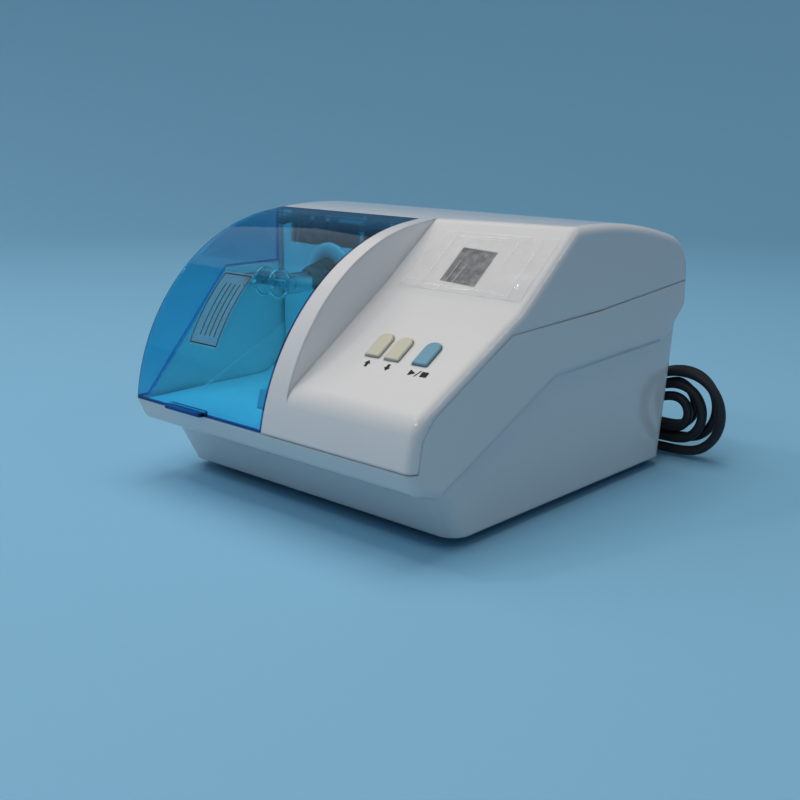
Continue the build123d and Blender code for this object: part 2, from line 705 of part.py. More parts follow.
FILM_X = (38.0, 104.0)
FILM_Y = (5.0, 36.0)          # from the bend
FILM_THICK = 0.25
with BuildPart() as display_film:
    for x in FILM_X:
        share = (x - SPINE_X) / (PANEL_EDGE_X - SPINE_X)
        corners = []
        for level in (-0.15, -0.15 - FILM_THICK):
            sides = zip(lowered(PANEL_LEFT, level), lowered(PANEL_RIGHT, level))
            _, bend, rear = (lerp_point(p, q, share) for p, q in sides)
            slope = (rear[1] - bend[1]) / (rear[0] - bend[0])
            corners.append([(bend[0] + step, bend[1] + slope * step) for step in FILM_Y])
        add(face_yz(x, corners[0][0], corners[0][1], corners[1][1], corners[1][0]))
    loft(ruled=True)
save(display_film.part, "display_film")

# bare label on the lid
LABEL_X = (-69.0, -44.0)
LABEL_Z = (86.0, 124.0)
LABEL_THICK = 0.2
with BuildPart() as lid_label:
    with BuildSketch(Plane.YZ.offset(LABEL_X[0])):
        with Locations(ARC_CENTRE):
            Circle(ARC_R + 0.05 + LABEL_THICK)
            Circle(ARC_R + 0.05, mode=Mode.SUBTRACT)
        with Locations((-100.0, (LABEL_Z[0] + LABEL_Z[1]) / 2)):
            Rectangle(60.0, LABEL_Z[1] - LABEL_Z[0], mode=Mode.INTERSECT)
    extrude(amount=LABEL_X[1] - LABEL_X[0])
save(lid_label.part, "lid_label")


# ---------------------------------------------------------------- drive
def rod_y(x, z, start, end, radius, hole=0.0):
    """Rod or tube along Y."""
    with BuildPart() as rod:
        with BuildSketch(Plane.XZ.offset(-start)):
            with Locations((x, z)):
                Circle(radius)
                if hole:
                    Circle(hole, mode=Mode.SUBTRACT)
        extrude(amount=start - end)
    return rod.part


CAN_WALL = 1.6
BELL_THICK = 4.0
RUN_FIT = 0.05
with BuildPart() as motor_can:
    add(rod_y(AXIS_X, AXIS_Z, CAN_FRONT_Y, CAN_REAR_Y, CAN_R))
    add(rod_y(AXIS_X, AXIS_Z, CAN_FRONT_Y + 3.0, CAN_REAR_Y, CAN_R - CAN_WALL), mode=Mode.SUBTRACT)
    add(rod_y(AXIS_X, AXIS_Z, CAN_FRONT_Y - 3.0, CAN_FRONT_Y, 9.0))
    add(rod_y(AXIS_X, AXIS_Z, CAN_FRONT_Y - 5.0, CAN_REAR_Y, SHAFT_R + RUN_FIT), mode=Mode.SUBTRACT)
save(motor_can.part, "motor_can")

with BuildPart() as motor_end_bell:
    add(rod_y(AXIS_X, AXIS_Z, CAN_REAR_Y, CAN_REAR_Y + BELL_THICK, CAN_R, SHAFT_R + RUN_FIT))
    add(rod_y(AXIS_X, AXIS_Z, CAN_REAR_Y + BELL_THICK, CAN_REAR_Y + BELL_THICK + 3.0, 9.0, SHAFT_R + RUN_FIT))
save(motor_end_bell.part, "motor_end_bell")

save(rod_y(AXIS_X, AXIS_Z, 1.5, CAN_REAR_Y + BELL_THICK + 5.0, SHAFT_R), "motor_shaft")
save(rod_y(AXIS_X, AXIS_Z, 38.0, 72.0, 18.0, SHAFT_R), "motor_rotor")
with BuildPart() as motor_magnets:
    add(rod_y(AXIS_X, AXIS_Z, 36.0, 74.0, CAN_R - CAN_WALL - 0.1, 19.0))
    with BuildSketch(Plane.XZ.offset(-36.0)):
        with Locations((AXIS_X, AXIS_Z)):
            Rectangle(60.0, 12.0)
    extrude(amount=-38.0, mode=Mode.SUBTRACT)
save(motor_magnets.part, "motor_magnets")

SLEEVE_R = 6.0
BEARING_R = 12.0
BEARING_WIDTH = 6.0
skewed = Plane(
    origin=(AXIS_X, PIVOT_Y, AXIS_Z), x_dir=(1, 0, 0), z_dir=(0, cos(radians(SKEW)), sin(radians(SKEW)))
)
with BuildPart() as wobble_sleeve:
    with BuildSketch(skewed.offset(-5.0)):
        Circle(SLEEVE_R)
    extrude(amount=10.0)
    with BuildSketch(skewed.offset(BEARING_WIDTH / 2 + 0.05)):
        Circle(SLEEVE_R + 1.5)
    extrude(amount=2.0)
    add(rod_y(AXIS_X, AXIS_Z, -5.0, 25.0, SHAFT_R), mode=Mode.SUBTRACT)
save(wobble_sleeve.part, "wobble_sleeve")

with BuildPart() as wobble_bearing:
    with BuildSketch(skewed.offset(-BEARING_WIDTH / 2)):
        Circle(BEARING_R)
        Circle(SLEEVE_R + 0.02, mode=Mode.SUBTRACT)
    extrude(amount=BEARING_WIDTH)
save(wobble_bearing.part, "wobble_bearing")

HUB_R = 15.5
HUB_BORE = 12.5
HUB_FRONT_Y = -2.5
ROD_R = 4.0
FORK_REAR_Y = -44.0
FORK_FRONT_Y = -62.0
FORK_HALF = 20.5
with BuildPart() as mixer_arm:
    add(rod_y(AXIS_X, AXIS_Z, HUB_FRONT_Y, PIVOT_Y + 4.5, HUB_R))
    add(rod_y(AXIS_X, AXIS_Z, HUB_FRONT_Y + 2.0, PIVOT_Y + 6.0, HUB_BORE), mode=Mode.SUBTRACT)
    add(rod_y(AXIS_X, AXIS_Z, FORK_REAR_Y, HUB_FRONT_Y, ROD_R))
save(mixer_arm.part, "mixer_arm")

with BuildPart() as capsule_fork:
    with BuildSketch(Plane.XY.offset(AXIS_Z - 4.0)):
        with Locations((AXIS_X, FORK_REAR_Y - 2.0)):
            Rectangle(2 * FORK_HALF, 4.0)
        for side in (-1, 1):
            with Locations((AXIS_X + side * (FORK_HALF - 1.2), (FORK_REAR_Y + FORK_FRONT_Y) / 2)):
                Rectangle(2.4, FORK_REAR_Y - FORK_FRONT_Y)
    extrude(amount=8.0)
    with BuildSketch(Plane.YZ.offset(AXIS_X - FORK_HALF - 1)):
        with Locations((FORK_FRONT_Y + 6.0, AXIS_Z)):
            Circle(2.4)
    extrude(amount=2 * FORK_HALF + 2, mode=Mode.SUBTRACT)
save(capsule_fork.part, "capsule_fork")

CLIP_R = 8.0
CLIP_WIRE_R = 0.8
with BuildPart() as capsule_clips:
    for side in (-1, 1):
        centre = (FORK_REAR_Y - 4.0 - CLIP_WIRE_R - 0.1 - CLIP_R, AXIS_Z)
        with BuildLine(Plane.YZ.offset(AXIS_X + side * 6.5)) as clip_path:
            CenterArc(centre, CLIP_R, -160, 320)
        with BuildSketch(Plane(origin=clip_path.line @ 0, z_dir=clip_path.line % 0)):
            Circle(CLIP_WIRE_R)
        sweep(path=clip_path.line)
    with BuildSketch(Plane.YZ.offset(AXIS_X - 6.5)):
        with Locations((FORK_REAR_Y - 4.0 - CLIP_WIRE_R - 0.1, AXIS_Z)):
            Circle(CLIP_WIRE_R)
    extrude(amount=13.0)
save(capsule_clips.part, "capsule_clips")

with BuildPart() as arm_boot:
    with BuildSketch(Plane.XZ.offset(-LINER_REAR_Y)):
        with Locations((AXIS_X, AXIS_Z)):
            Circle(BOOT_HOLE_R + 3.0)
            Circle(BOOT_HOLE_R - 1.0, mode=Mode.SUBTRACT)
    extrude(amount=1.8)
    for y, radius in ((-10.8, 16.8), (-28.0, 10.5)):
        with BuildSketch(Plane.XZ.offset(-y)):
            with Locations((AXIS_X, AXIS_Z)):
                Circle(radius)
    loft()
    for y, radius in ((-8.9, 15.4), (-28.1, 8.8)):
        with BuildSketch(Plane.XZ.offset(-y)):
            with Locations((AXIS_X, AXIS_Z)):
                Circle(radius)
    loft(mode=Mode.SUBTRACT)
save(arm_boot.part, "arm_boot")

# motor cradle on four rubber dampers
CRADLE_X = (-92.0, -30.0)
CRADLE_Y = (32.0, 76.0)
CRADLE_LOW = 30.0
DAMPER_PLACES = [(x, y) for x in (-86.0, -36.0) for y in (40.0, 68.0)]
with BuildPart() as motor_cradle:
    with BuildSketch(Plane.XY.offset(CRADLE_LOW)):
        with Locations(((CRADLE_X[0] + CRADLE_X[1]) / 2, (CRADLE_Y[0] + CRADLE_Y[1]) / 2)):
            Rectangle(CRADLE_X[1] - CRADLE_X[0], CRADLE_Y[1] - CRADLE_Y[0])
        with Locations(*DAMPER_PLACES):
            Circle(SCREW_R + 0.1, mode=Mode.SUBTRACT)
    extrude(amount=2.0)
    for y in (CRADLE_Y[0], CRADLE_Y[1] - 2.5):
        with BuildSketch(Plane.XZ.offset(-y)):
            with BuildLine():
                Polyline((CRADLE_X[0], CRADLE_LOW + 2), (CRADLE_X[1], CRADLE_LOW + 2),
                         (AXIS_X + 20, AXIS_Z - 8), (AXIS_X - 20, AXIS_Z - 8), close=True)
            make_face()
            with Locations((AXIS_X, AXIS_Z)):
                Circle(CAN_R + 0.02, mode=Mode.SUBTRACT)
        extrude(amount=-2.5)
save(motor_cradle.part, "motor_cradle")

with BuildPart() as motor_dampers:
    with BuildSketch(Plane.XY.offset(PLATE_TOP)):
        with Locations(*DAMPER_PLACES):
            Circle(7.0)
            Circle(SCREW_R, mode=Mode.SUBTRACT)
    extrude(amount=CRADLE_LOW - PLATE_TOP)
save(motor_dampers.part, "motor_dampers")

with BuildPart() as cradle_screws:
    with BuildSketch(Plane.XY.offset(CRADLE_LOW + 2.0)):
        with Locations(*DAMPER_PLACES):
            Circle(3.0)
    extrude(amount=2.4)
    with BuildSketch(Plane.XY.offset(CRADLE_LOW - 12.0)):
        with Locations(*DAMPER_PLACES):
            Circle(SCREW_R - 0.02)
    extrude(amount=14.0)
save(cradle_screws.part, "cradle_screws")

# ---------------------------------------------------------------- power parts in the right half
POWER_X, POWER_Y = 62.0, -10.0
POWER_HOLES = (70.0, 46.0)
POWER_LOW = PLATE_TOP + 8.0
with BuildPart() as board_standoffs:
    with BuildSketch(Plane.XY.offset(PLATE_TOP)):
        with Locations((POWER_X, POWER_Y)):
            with GridLocations(POWER_HOLES[0], POWER_HOLES[1], 2, 2):
                Circle(3.0)
    extrude(amount=8.0)
save(board_standoffs.part, "board_standoffs")

with BuildPart() as power_board:
    with BuildSketch(Plane.XY.offset(POWER_LOW)):
        with Locations((POWER_X, POWER_Y)):
            RectangleRounded(POWER_HOLES[0] + 8, POWER_HOLES[1] + 8, 2.0)
            with GridLocations(POWER_HOLES[0], POWER_HOLES[1], 2, 2):
                Circle(1.6, mode=Mode.SUBTRACT)
    extrude(amount=BOARD_THICK)
    with BuildSketch(Plane.XY.offset(POWER_LOW + BOARD_THICK)):
        with Locations((POWER_X - 22, POWER_Y)):
            Rectangle(18.0, 28.0)
        with Locations((POWER_X + 20, POWER_Y - 12)):
            Rectangle(16.0, 12.0)
    extrude(amount=14.0)
save(power_board.part, "power_board")

with BuildPart() as motor_capacitor:
    with BuildSketch(Plane.XY.offset(POWER_LOW + BOARD_THICK)):
        with Locations((POWER_X + 18, POWER_Y + 12)):
            Circle(9.0)
    extrude(amount=32.0)
    fillet(motor_capacitor.faces().sort_by(Axis.Z)[-1].edges(), 1.5)
save(motor_capacitor.part, "motor_capacitor")

CORE = (58.0, 40.0, 40.0)
CORE_PLACE = (64.0, 58.0)
with BuildPart() as transformer:
    with BuildSketch(Plane.XY.offset(PLATE_TOP)):
        with Locations(CORE_PLACE):
            Rectangle(CORE[0], CORE[1] * 0.55)
    extrude(amount=CORE[2])
    with BuildSketch(Plane.XY.offset(PLATE_TOP + 8)):
        with Locations(CORE_PLACE):
            RectangleRounded(CORE[0] * 0.62, CORE[1], 3.0)
    extrude(amount=CORE[2] - 16)
save(transformer.part, "transformer")

# lid interlock: magnet on the lid, reed switch on the chamber liner
MAGNET_X = (-3.0, 3.0)
with BuildPart() as lid_magnet:
    with BuildSketch(Plane.YZ.offset(MAGNET_X[0])):
        with Locations(ARC_CENTRE):
            Circle(ARC_R - WALL - 0.05)
            Circle(ARC_R - WALL - 3.0, mode=Mode.SUBTRACT)
        with Locations((-120.0, 66.0)):
            Rectangle(30.0, 10.0, mode=Mode.INTERSECT)
    extrude(amount=MAGNET_X[1] - MAGNET_X[0])
save(lid_magnet.part, "lid_magnet")

with BuildPart() as reed_switch:
    with BuildSketch(Plane.YZ.offset(LINER_RIGHT_X + LINER_WALL)):
        with Locations((-108.0, 66.0)):
            Rectangle(4.0, 16.0)
    extrude(amount=2.6)
save(reed_switch.part, "reed_switch")

# ---------------------------------------------------------------- rear: power switch, fuse, gland
switch_plane = rear_plane(*SWITCH_PLACE)
with BuildPart() as power_switch_body:
    with BuildSketch(switch_plane.offset(0.05)):
        RectangleRounded(SWITCH_SIZE[0] + SWITCH_RIM, SWITCH_SIZE[1] + SWITCH_RIM, 1.5)
    extrude(amount=1.8)
    with BuildSketch(switch_plane.offset(-20.0)):
        Rectangle(SWITCH_SIZE[0] - SWITCH_PLAY, SWITCH_SIZE[1] - SWITCH_PLAY)
    extrude(amount=20.05)
    with BuildSketch(switch_plane.offset(-8.0)):
        Rectangle(SWITCH_SIZE[0] - SWITCH_WALLS[0], SWITCH_SIZE[1] - SWITCH_WALLS[1])
    extrude(amount=12.0, mode=Mode.SUBTRACT)
save(power_switch_body.part, "power_switch_body")

ROCKER_WIDTH = SWITCH_SIZE[0] - 6.0
ROCKER_AXIS_IN = 3.0          # rocker axis, inside the bezel
ROCKER_BARREL_R = 2.6
rocker_centre = switch_plane.origin - switch_plane.z_dir * ROCKER_AXIS_IN
rocker_side = Plane(
    origin=rocker_centre - switch_plane.x_dir * (ROCKER_WIDTH / 2),
    x_dir=switch_plane.y_dir,
    z_dir=switch_plane.x_dir,
)
with BuildPart() as power_rocker:
    with BuildSketch(rocker_side):
        with BuildLine():
            Polyline((-5.4, -1.5), (5.4, -1.5), (6.4, 5.2), (0.0, 3.6), (-6.4, 6.6), close=True)
        make_face()
        Circle(ROCKER_BARREL_R)
    extrude(amount=ROCKER_WIDTH)
save(power_rocker.part, "power_rocker")

fuse_plane = rear_plane(*FUSE_PLACE)
with BuildPart() as fuse_holder:
    with BuildSketch(fuse_plane.offset(0.05)):
        Circle(FUSE_R + 2.0)
    extrude(amount=2.0)
    with BuildSketch(fuse_plane.offset(-26.0)):
        Circle(FUSE_R - 0.15)
    extrude(amount=26.05)
    with BuildSketch(fuse_plane.offset(-22.0)):
        Circle(4.6)
    extrude(amount=26.0, mode=Mode.SUBTRACT)
save(fuse_holder.part, "fuse_holder")

with BuildPart() as fuse_cap:
    with BuildSketch(fuse_plane.offset(-14.0)):
        Circle(4.4)
    extrude(amount=16.1)
    with BuildSketch(fuse_plane.offset(2.1)):
        Circle(6.0)
    extrude(amount=4.0)
    with BuildSketch(fuse_plane.offset(5.0)):
        Rectangle(1.4, 9.0)
    extrude(amount=2.0, mode=Mode.SUBTRACT)
save(fuse_cap.part, "fuse_cap")

GLAND_LENGTH = 20.0
gland_plane = rear_plane(*GLAND_PLACE)
with BuildPart() as cord_gland:
    with BuildSketch(gland_plane.offset(0.05)):
        Circle(GLAND_R + 1.8)
    extrude(amount=2.0)
    with BuildSketch(gland_plane.offset(-6.0)):
        Circle(GLAND_R - 0.15)
    extrude(amount=6.05)
    for step, radius in ((2.05, 5.4), (GLAND_LENGTH, 4.0)):
        with BuildSketch(gland_plane.offset(step)):
            Circle(radius)
    loft()
save(cord_gland.part, "cord_gland")

# ---------------------------------------------------------------- mains cord
def tube(wire_edges, radius):
    """Round tube along a path."""
    with BuildPart() as swept:
        with BuildSketch(Plane(origin=wire_edges @ 0, z_dir=wire_edges % 0)):
            Circle(radius)
        sweep(path=wire_edges)
    return swept.part


def rounded_route(points, name):
    """Straight runs with the largest tangent arcs that they leave room for; prints the radii."""
    route = [Vector(*p) for p in points]
    radii = []
    for before, corner, after in zip(route, route[1:], route[2:]):
        turn = radians((corner - before).get_angle(after - corner))
        shorter = min((corner - before).length, (after - corner).length)
        radii.append(0.45 * shorter / tan(turn / 2))
    with BuildLine() as path:
        FilletPolyline(*route, radius=radii)
    line = path.wire()
    piece = tube(line, CORD_R)
    print(name, "radii", [round(r, 1) for r in radii], "length", round(line.length, 1))
    print(name, "volume over section times length", round(piece.volume / (pi * CORD_R ** 2 * line.length), 4))
    return piece


# hank: two upright layers of loops behind the rear wall, drawn in at the tie
HANK_Y = (131.0, 137.6)       # near and far layer
HANK_STEP = 7.1               # between bottom runs, and between top runs at the tie
HANK_SPREAD = 8.1             # between top runs at the ends
HANK_LOW = 4.4
HANK_TOP = 38.5               # innermost top run at the ends
HANK_WAIST = 33.5             # innermost top run at the tie
TIE_X = 76.0
RIGHT_X = 105.25              # where the end loops begin
LEFT_X = 44.0
HANK_START_X = 54.0
END_STRAIGHT = CORD_D
OUTER_LOOP = 2
GAP_STEP = 3.0                # between the points on which the gap is measured


def bottom_run(loop, y):
    """Height of a loop's bottom run; loop 0 is the innermost."""
    z = HANK_LOW + (OUTER_LOOP - loop) * HANK_STEP
    return [Edge.make_line(Vector(LEFT_X, y, z), Vector(RIGHT_X, y, z))]


def level_bow(start, end):
    """Two equal arcs between two points, level along X at both ends."""
    middle = (start + end) * 0.5
    first = Edge.make_tangent_arc(start, Vector(end.X - start.X, 0, 0).normalized(), middle)
    return [first, Edge.make_tangent_arc(middle, first % 1, end)]


def top_run(loop, y, end_y):
    """Top run of a loop from the right end to the left one, lowest at the tie."""
    end_z = HANK_TOP + loop * HANK_SPREAD
    tie = Vector(TIE_X, y, HANK_WAIST + loop * HANK_STEP)
    right = Vector(RIGHT_X, y, end_z)
    return level_bow(right, tie) + level_bow(tie, Vector(LEFT_X, end_y, end_z))


def end_loop(bottom, top, side):
    """Two quarter arcs round an end of the hank, upwards at the right (side 1), downwards at the left."""
    radius = (top.Z - bottom.Z) / 2
    reach = Vector(side * radius * sin(radians(45)), 0, 0)
    rise = Vector(0, 0, radius * sin(radians(45)))
    centre = (bottom + top) * 0.5
    apex = centre + Vector(side * radius, 0, 0)
    lower = (bottom, centre + reach - rise, apex)
    upper = (apex, centre + reach + rise, top)
    arcs = (lower, upper) if side > 0 else (upper[::-1], lower[::-1])
    return [Edge.make_three_point_arc(*arc) for arc in arcs]


def least_gap(path, diameter):
    """Least distance of a tube to itself, on points along its path; neighbours along it are skipped."""
    count = int(path.length / GAP_STEP)
    points = [tuple(path @ (i / count)) for i in range(count + 1)]
    skipped = int(2.5 * diameter / GAP_STEP) + 1
    return min(
        dist(p, q) - diameter for i, p in enumerate(points) for q in points[i + skipped:]
    )


near_y, far_y = HANK_Y
hank_edges = []
for loop in range(OUTER_LOOP, -1, -1):
    # spiral in; the innermost top run climbs to the far layer
    run = bottom_run(loop, near_y)
    climb = top_run(loop, near_y, near_y if loop else far_y)
    hank_edges += run + end_loop(run[0] @ 1, climb[0] @ 0, 1) + climb
    inward = bottom_run(loop - 1, near_y) if loop else bottom_run(0, far_y)
    hank_edges += end_loop(inward[0] @ 0, climb[-1] @ 1, -1)
for loop in range(OUTER_LOOP):
    # spiral out in the far layer
    run = bottom_run(loop, far_y)
    wider = top_run(loop + 1, far_y, far_y)
    hank_edges += run + end_loop(run[0] @ 1, wider[0] @ 0, 1) + wider
    if loop + 1 < OUTER_LOOP:
        hank_edges += end_loop(bottom_run(loop + 1, far_y)[0] @ 0, wider[-1] @ 1, -1)
hank_start = Vector(HANK_START_X, near_y, HANK_LOW)
hank_edges[0] = Edge.make_line(hank_start, hank_edges[0] @ 1)
hank_end = hank_edges[-1] @ 1 - Vector(END_STRAIGHT, 0, 0)
hank_edges.append(Edge.make_line(hank_edges[-1] @ 1, hank_end))
hank_path = Wire(hank_edges)
cord_hank = tube(hank_path, CORD_R)
print("cord_hank length", round(hank_path.length, 1), "least gap", round(least_gap(hank_path, CORD_D), 2))
hank_volume = pi * CORD_R ** 2 * hank_path.length
print("cord_hank volume over section times length", round(cord_hank.volume / hank_volume, 4))
save(cord_hank, "cord_hank")

TIE_GAP = 0.3
TIE_THICK = 0.9
TIE_WIDTH = 5.0
with BuildPart() as hank_tie:
    high = HANK_WAIST + OUTER_LOOP * HANK_STEP
    inner_size = (far_y - near_y + CORD_D + 2 * TIE_GAP, high - HANK_LOW + CORD_D + 2 * TIE_GAP)
    with BuildSketch(Plane.YZ.offset(TIE_X - TIE_WIDTH / 2)):
        with Locations(((near_y + far_y) / 2, (HANK_LOW + high) / 2)):
            RectangleRounded(*(side + 2 * TIE_THICK for side in inner_size), CORD_R + TIE_GAP + TIE_THICK)
            RectangleRounded(*inner_size, CORD_R + TIE_GAP, mode=Mode.SUBTRACT)
    extrude(amount=TIE_WIDTH)
save(hank_tie.part, "hank_tie")

gland_end = gland_plane.origin + gland_plane.z_dir * GLAND_LENGTH
FIRST_RUN = 14.0
CORD_ROUTE = [
    tuple(gland_end),
    tuple(gland_end + gland_plane.z_dir * FIRST_RUN),
    (-82.0, 166.0, 24.5),
    (-71.0, 178.0, 15.0),
    (-52.0, 181.0, 7.0),
    (-31.0, 176.0, 3.4),
    (-12.0, 165.5, 3.4),
    (6.0, 153.0, 3.4),
    (22.0, 140.0, 3.6),
    (HANK_START_X - FIRST_RUN, near_y, HANK_LOW),
    tuple(hank_start),
]
save(rounded_route(CORD_ROUTE, "mains_cord"), "mains_cord")

PLUG_X = -49.0                # end of the plug's strain relief
PLUG_Y = 146.0
PLUG_Z = 6.8
LEAD_ROUTE = [
    tuple(hank_end),
    tuple(hank_end - Vector(13.0, 0, 0)),
    (11.0, 138.6, 49.0),
    (-1.0, 140.2, 38.5),
    (-11.0, 142.0, 26.0),
    (-22.0, 144.0, 14.5),
    (-36.0, PLUG_Y, PLUG_Z),
    (PLUG_X, PLUG_Y, PLUG_Z),
]
save(rounded_route(LEAD_ROUTE, "plug_lead"), "plug_lead")

PLUG_RELIEF = 14.0
PLUG_NECK = 9.0
PLUG_BODY = 18.0
PIN_LENGTH = 17.0
PLUG_SIZE = (31.0, 13.0)
with BuildPart() as mains_plug:
    for step, radius in ((0.0, 3.4), (PLUG_RELIEF, 4.8)):
        with BuildSketch(Plane.YZ.offset(PLUG_X - step)):
            with Locations((PLUG_Y, PLUG_Z)):
                Circle(radius)
    loft()
    for step, width, height, radius in ((0.0, 13.0, 10.0, 4.0), (PLUG_NECK, PLUG_SIZE[0], PLUG_SIZE[1], 6.0)):
        with BuildSketch(Plane.YZ.offset(PLUG_X - PLUG_RELIEF - step)):
            with Locations((PLUG_Y, PLUG_Z)):
                RectangleRounded(width, height, radius)
    loft()
    with BuildSketch(Plane.YZ.offset(PLUG_X - PLUG_RELIEF - PLUG_NECK)):
        with Locations((PLUG_Y, PLUG_Z)):
            RectangleRounded(PLUG_SIZE[0], PLUG_SIZE[1], 6.0)
    extrude(amount=-PLUG_BODY)
    with BuildSketch(Plane.YZ.offset(PLUG_X - PLUG_RELIEF - PLUG_NECK - PLUG_BODY)):
        for side in (-1, 1):
            with Locations((PLUG_Y + side * 9.5, PLUG_Z)):
                Circle(2.0)
    extrude(amount=-PIN_LENGTH)
save(mains_plug.part, "mains_plug")
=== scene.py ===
"""Looks of the bench-top capsule mixer: glossy white casing, transparent blue lid, control panel and cord.

Everything is in metres in the machine's own frame: X to the operator's right, Y to the back, Z up.
"""
import json

import bmesh
import bpy
import numpy as np
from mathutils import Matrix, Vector


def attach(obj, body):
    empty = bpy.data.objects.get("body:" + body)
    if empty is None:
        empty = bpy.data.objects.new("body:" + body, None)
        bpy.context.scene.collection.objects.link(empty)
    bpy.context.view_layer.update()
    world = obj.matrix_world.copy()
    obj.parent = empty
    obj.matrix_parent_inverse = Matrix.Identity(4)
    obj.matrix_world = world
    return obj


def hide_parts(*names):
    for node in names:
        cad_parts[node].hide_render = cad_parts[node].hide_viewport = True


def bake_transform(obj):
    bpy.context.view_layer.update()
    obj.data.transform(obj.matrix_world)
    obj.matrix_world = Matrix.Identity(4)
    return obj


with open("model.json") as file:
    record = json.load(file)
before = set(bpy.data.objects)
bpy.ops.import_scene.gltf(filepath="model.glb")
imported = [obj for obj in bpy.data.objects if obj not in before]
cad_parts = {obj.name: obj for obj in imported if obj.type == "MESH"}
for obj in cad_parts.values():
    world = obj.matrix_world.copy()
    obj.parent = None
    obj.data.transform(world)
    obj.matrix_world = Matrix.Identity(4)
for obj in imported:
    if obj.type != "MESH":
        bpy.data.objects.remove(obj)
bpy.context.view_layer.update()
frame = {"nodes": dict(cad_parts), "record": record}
MM = 0.001
nodes = frame["nodes"]
record = frame["record"]
node_slots = {part["node"]: part["material_slot"] for part in record["subparts"]}

# ---------------------------------------------------------------- camera
CAMERA_AT = Vector((0.44859, -0.49968, 0.21788))
CAMERA_FORWARD = Vector((-0.65596, 0.71146, -0.25208))
CAMERA_LENS = 51.59
SENSOR = 36.0


def make_camera():
    """Camera at the place and angle from which the machine is seen."""
    data = bpy.data.cameras.new("camera")
    data.sensor_width = SENSOR
    data.lens = CAMERA_LENS
    data.clip_start = 0.01
    data.clip_end = 20.0
    camera = bpy.data.objects.new("camera", data)
    bpy.context.scene.collection.objects.link(camera)
    camera.location = CAMERA_AT
    camera.rotation_mode = "QUATERNION"
    camera.rotation_quaternion = CAMERA_FORWARD.to_track_quat("-Z", "Y")
    bpy.context.scene.camera = camera


make_camera()

# ---------------------------------------------------------------- cord
CORD_D = 6.0 * MM
# The hank's measures and both routes are in millimetres. Loop 0 is the innermost one.
HANK_NEAR_Y = 131.0           # layer next to the casing
HANK_FAR_Y = 137.6            # layer behind it
HANK_STEP = 7.1               # from loop to loop in the bottom runs and at the waist
HANK_SPREAD = 8.1             # from loop to loop in the top runs
HANK_LOW = 4.4                # bottom run of the outer loop
HANK_TOP = 38.5               # top run of the inner loop
HANK_WAIST = 33.5             # the same run where the tie draws it in
TIE_X = 76.0
WAIST_HALF = 7.5              # half the length that lies drawn in
TOP_ENDS_X = (98.0, 52.0)     # where the top runs leave their turns, right and left
BOTTOM_ENDS_X = (60.0, 90.0)  # the same for the bottom runs, left and right
RIGHT_X = 105.25              # centres of the turns
LEFT_X = 44.0
OUTER_LOOP = 2
TURN_POINTS = 6               # control points in a half turn
NEAR_REACH = (-3.0, -1.0, 4.0)  # how far each loop's right turn is moved out, near layer
FAR_REACH = (-6.0, 1.0)       # the same in the far layer
MAINS_ROUTE = [               # from the strain relief to the hank
    (-85.0, 135.5, 31.8), (-85.0, 149.4, 30.2), (-82.0, 166.0, 24.5), (-71.0, 178.0, 15.0),
    (-52.0, 181.0, 7.0), (-31.0, 176.0, 3.4), (-12.0, 165.5, 3.4), (6.0, 153.0, 3.4), (22.0, 140.0, 3.6),
    (40.0, 131.0, 4.4),
]
LEAD_ROUTE = [                # from the hank to the plug
    (25.0, 137.6, 54.7), (11.0, 138.6, 49.0), (-1.0, 140.2, 38.5), (-11.0, 142.0, 26.0),
    (-22.0, 144.0, 14.5), (-36.0, 146.0, 6.8), (-49.0, 146.0, 6.8),
]


def bottom_z(loop):
    """Height of a loop's bottom run."""
    return HANK_LOW + (OUTER_LOOP - loop) * HANK_STEP


def top_z(loop):
    """Height of a loop's top run."""
    return HANK_TOP + loop * HANK_SPREAD


def half_turn(x, y, start_z, end_z, side):
    """Control points of a half circle round an end of the hank.

    They are corners of the polygon whose sides touch the circle.
    """
    radius = abs(end_z - start_z) / 2
    corner = radius / np.cos(np.pi / TURN_POINTS / 2)
    angle = (np.arange(TURN_POINTS) + 0.5) * np.pi / TURN_POINTS
    rise = np.sign(end_z - start_z)
    xs = x + side * corner * np.sin(angle)
    zs = (start_z + end_z) / 2 - rise * corner * np.cos(angle)
    return [(px, y, pz) for px, pz in zip(xs, zs)]


def top_run(loop, y, end_y):
    """Control points of a top run, drawn in at the tie; it ends in the layer at end_y."""
    waist = HANK_WAIST + loop * HANK_STEP
    lift = top_z(loop)
    right, left = TOP_ENDS_X
    drawn_in = [(TIE_X + WAIST_HALF, y, waist), (TIE_X - WAIST_HALF, y, waist)]
    return [(right, y, lift), *drawn_in, (left, end_y, lift)]


def bottom_run(loop, y):
    """Control points of a bottom run, from left to right."""
    return [(x, y, bottom_z(loop)) for x in BOTTOM_ENDS_X]


def hank_points():
    """Control points of the folded cord: the loops spiral in in the near layer and out in the far one."""
    points = []
    for loop in range(OUTER_LOOP, -1, -1):
        end_y = HANK_NEAR_Y if loop else HANK_FAR_Y
        points += bottom_run(loop, HANK_NEAR_Y)
        points += half_turn(RIGHT_X + NEAR_REACH[loop], HANK_NEAR_Y, bottom_z(loop), top_z(loop), 1)
        points += top_run(loop, HANK_NEAR_Y, end_y)
        inner = bottom_z(loop - 1) if loop else bottom_z(0)
        points += half_turn(LEFT_X, end_y, top_z(loop), inner, -1)
    for loop in range(OUTER_LOOP):
        points += bottom_run(loop, HANK_FAR_Y)
        points += half_turn(RIGHT_X + FAR_REACH[loop], HANK_FAR_Y, bottom_z(loop), top_z(loop + 1), 1)
        points += top_run(loop + 1, HANK_FAR_Y, HANK_FAR_Y)
        if loop + 1 < OUTER_LOOP:
            points += half_turn(LEFT_X, HANK_FAR_Y, top_z(loop + 1), bottom_z(loop + 1), -1)
    return points


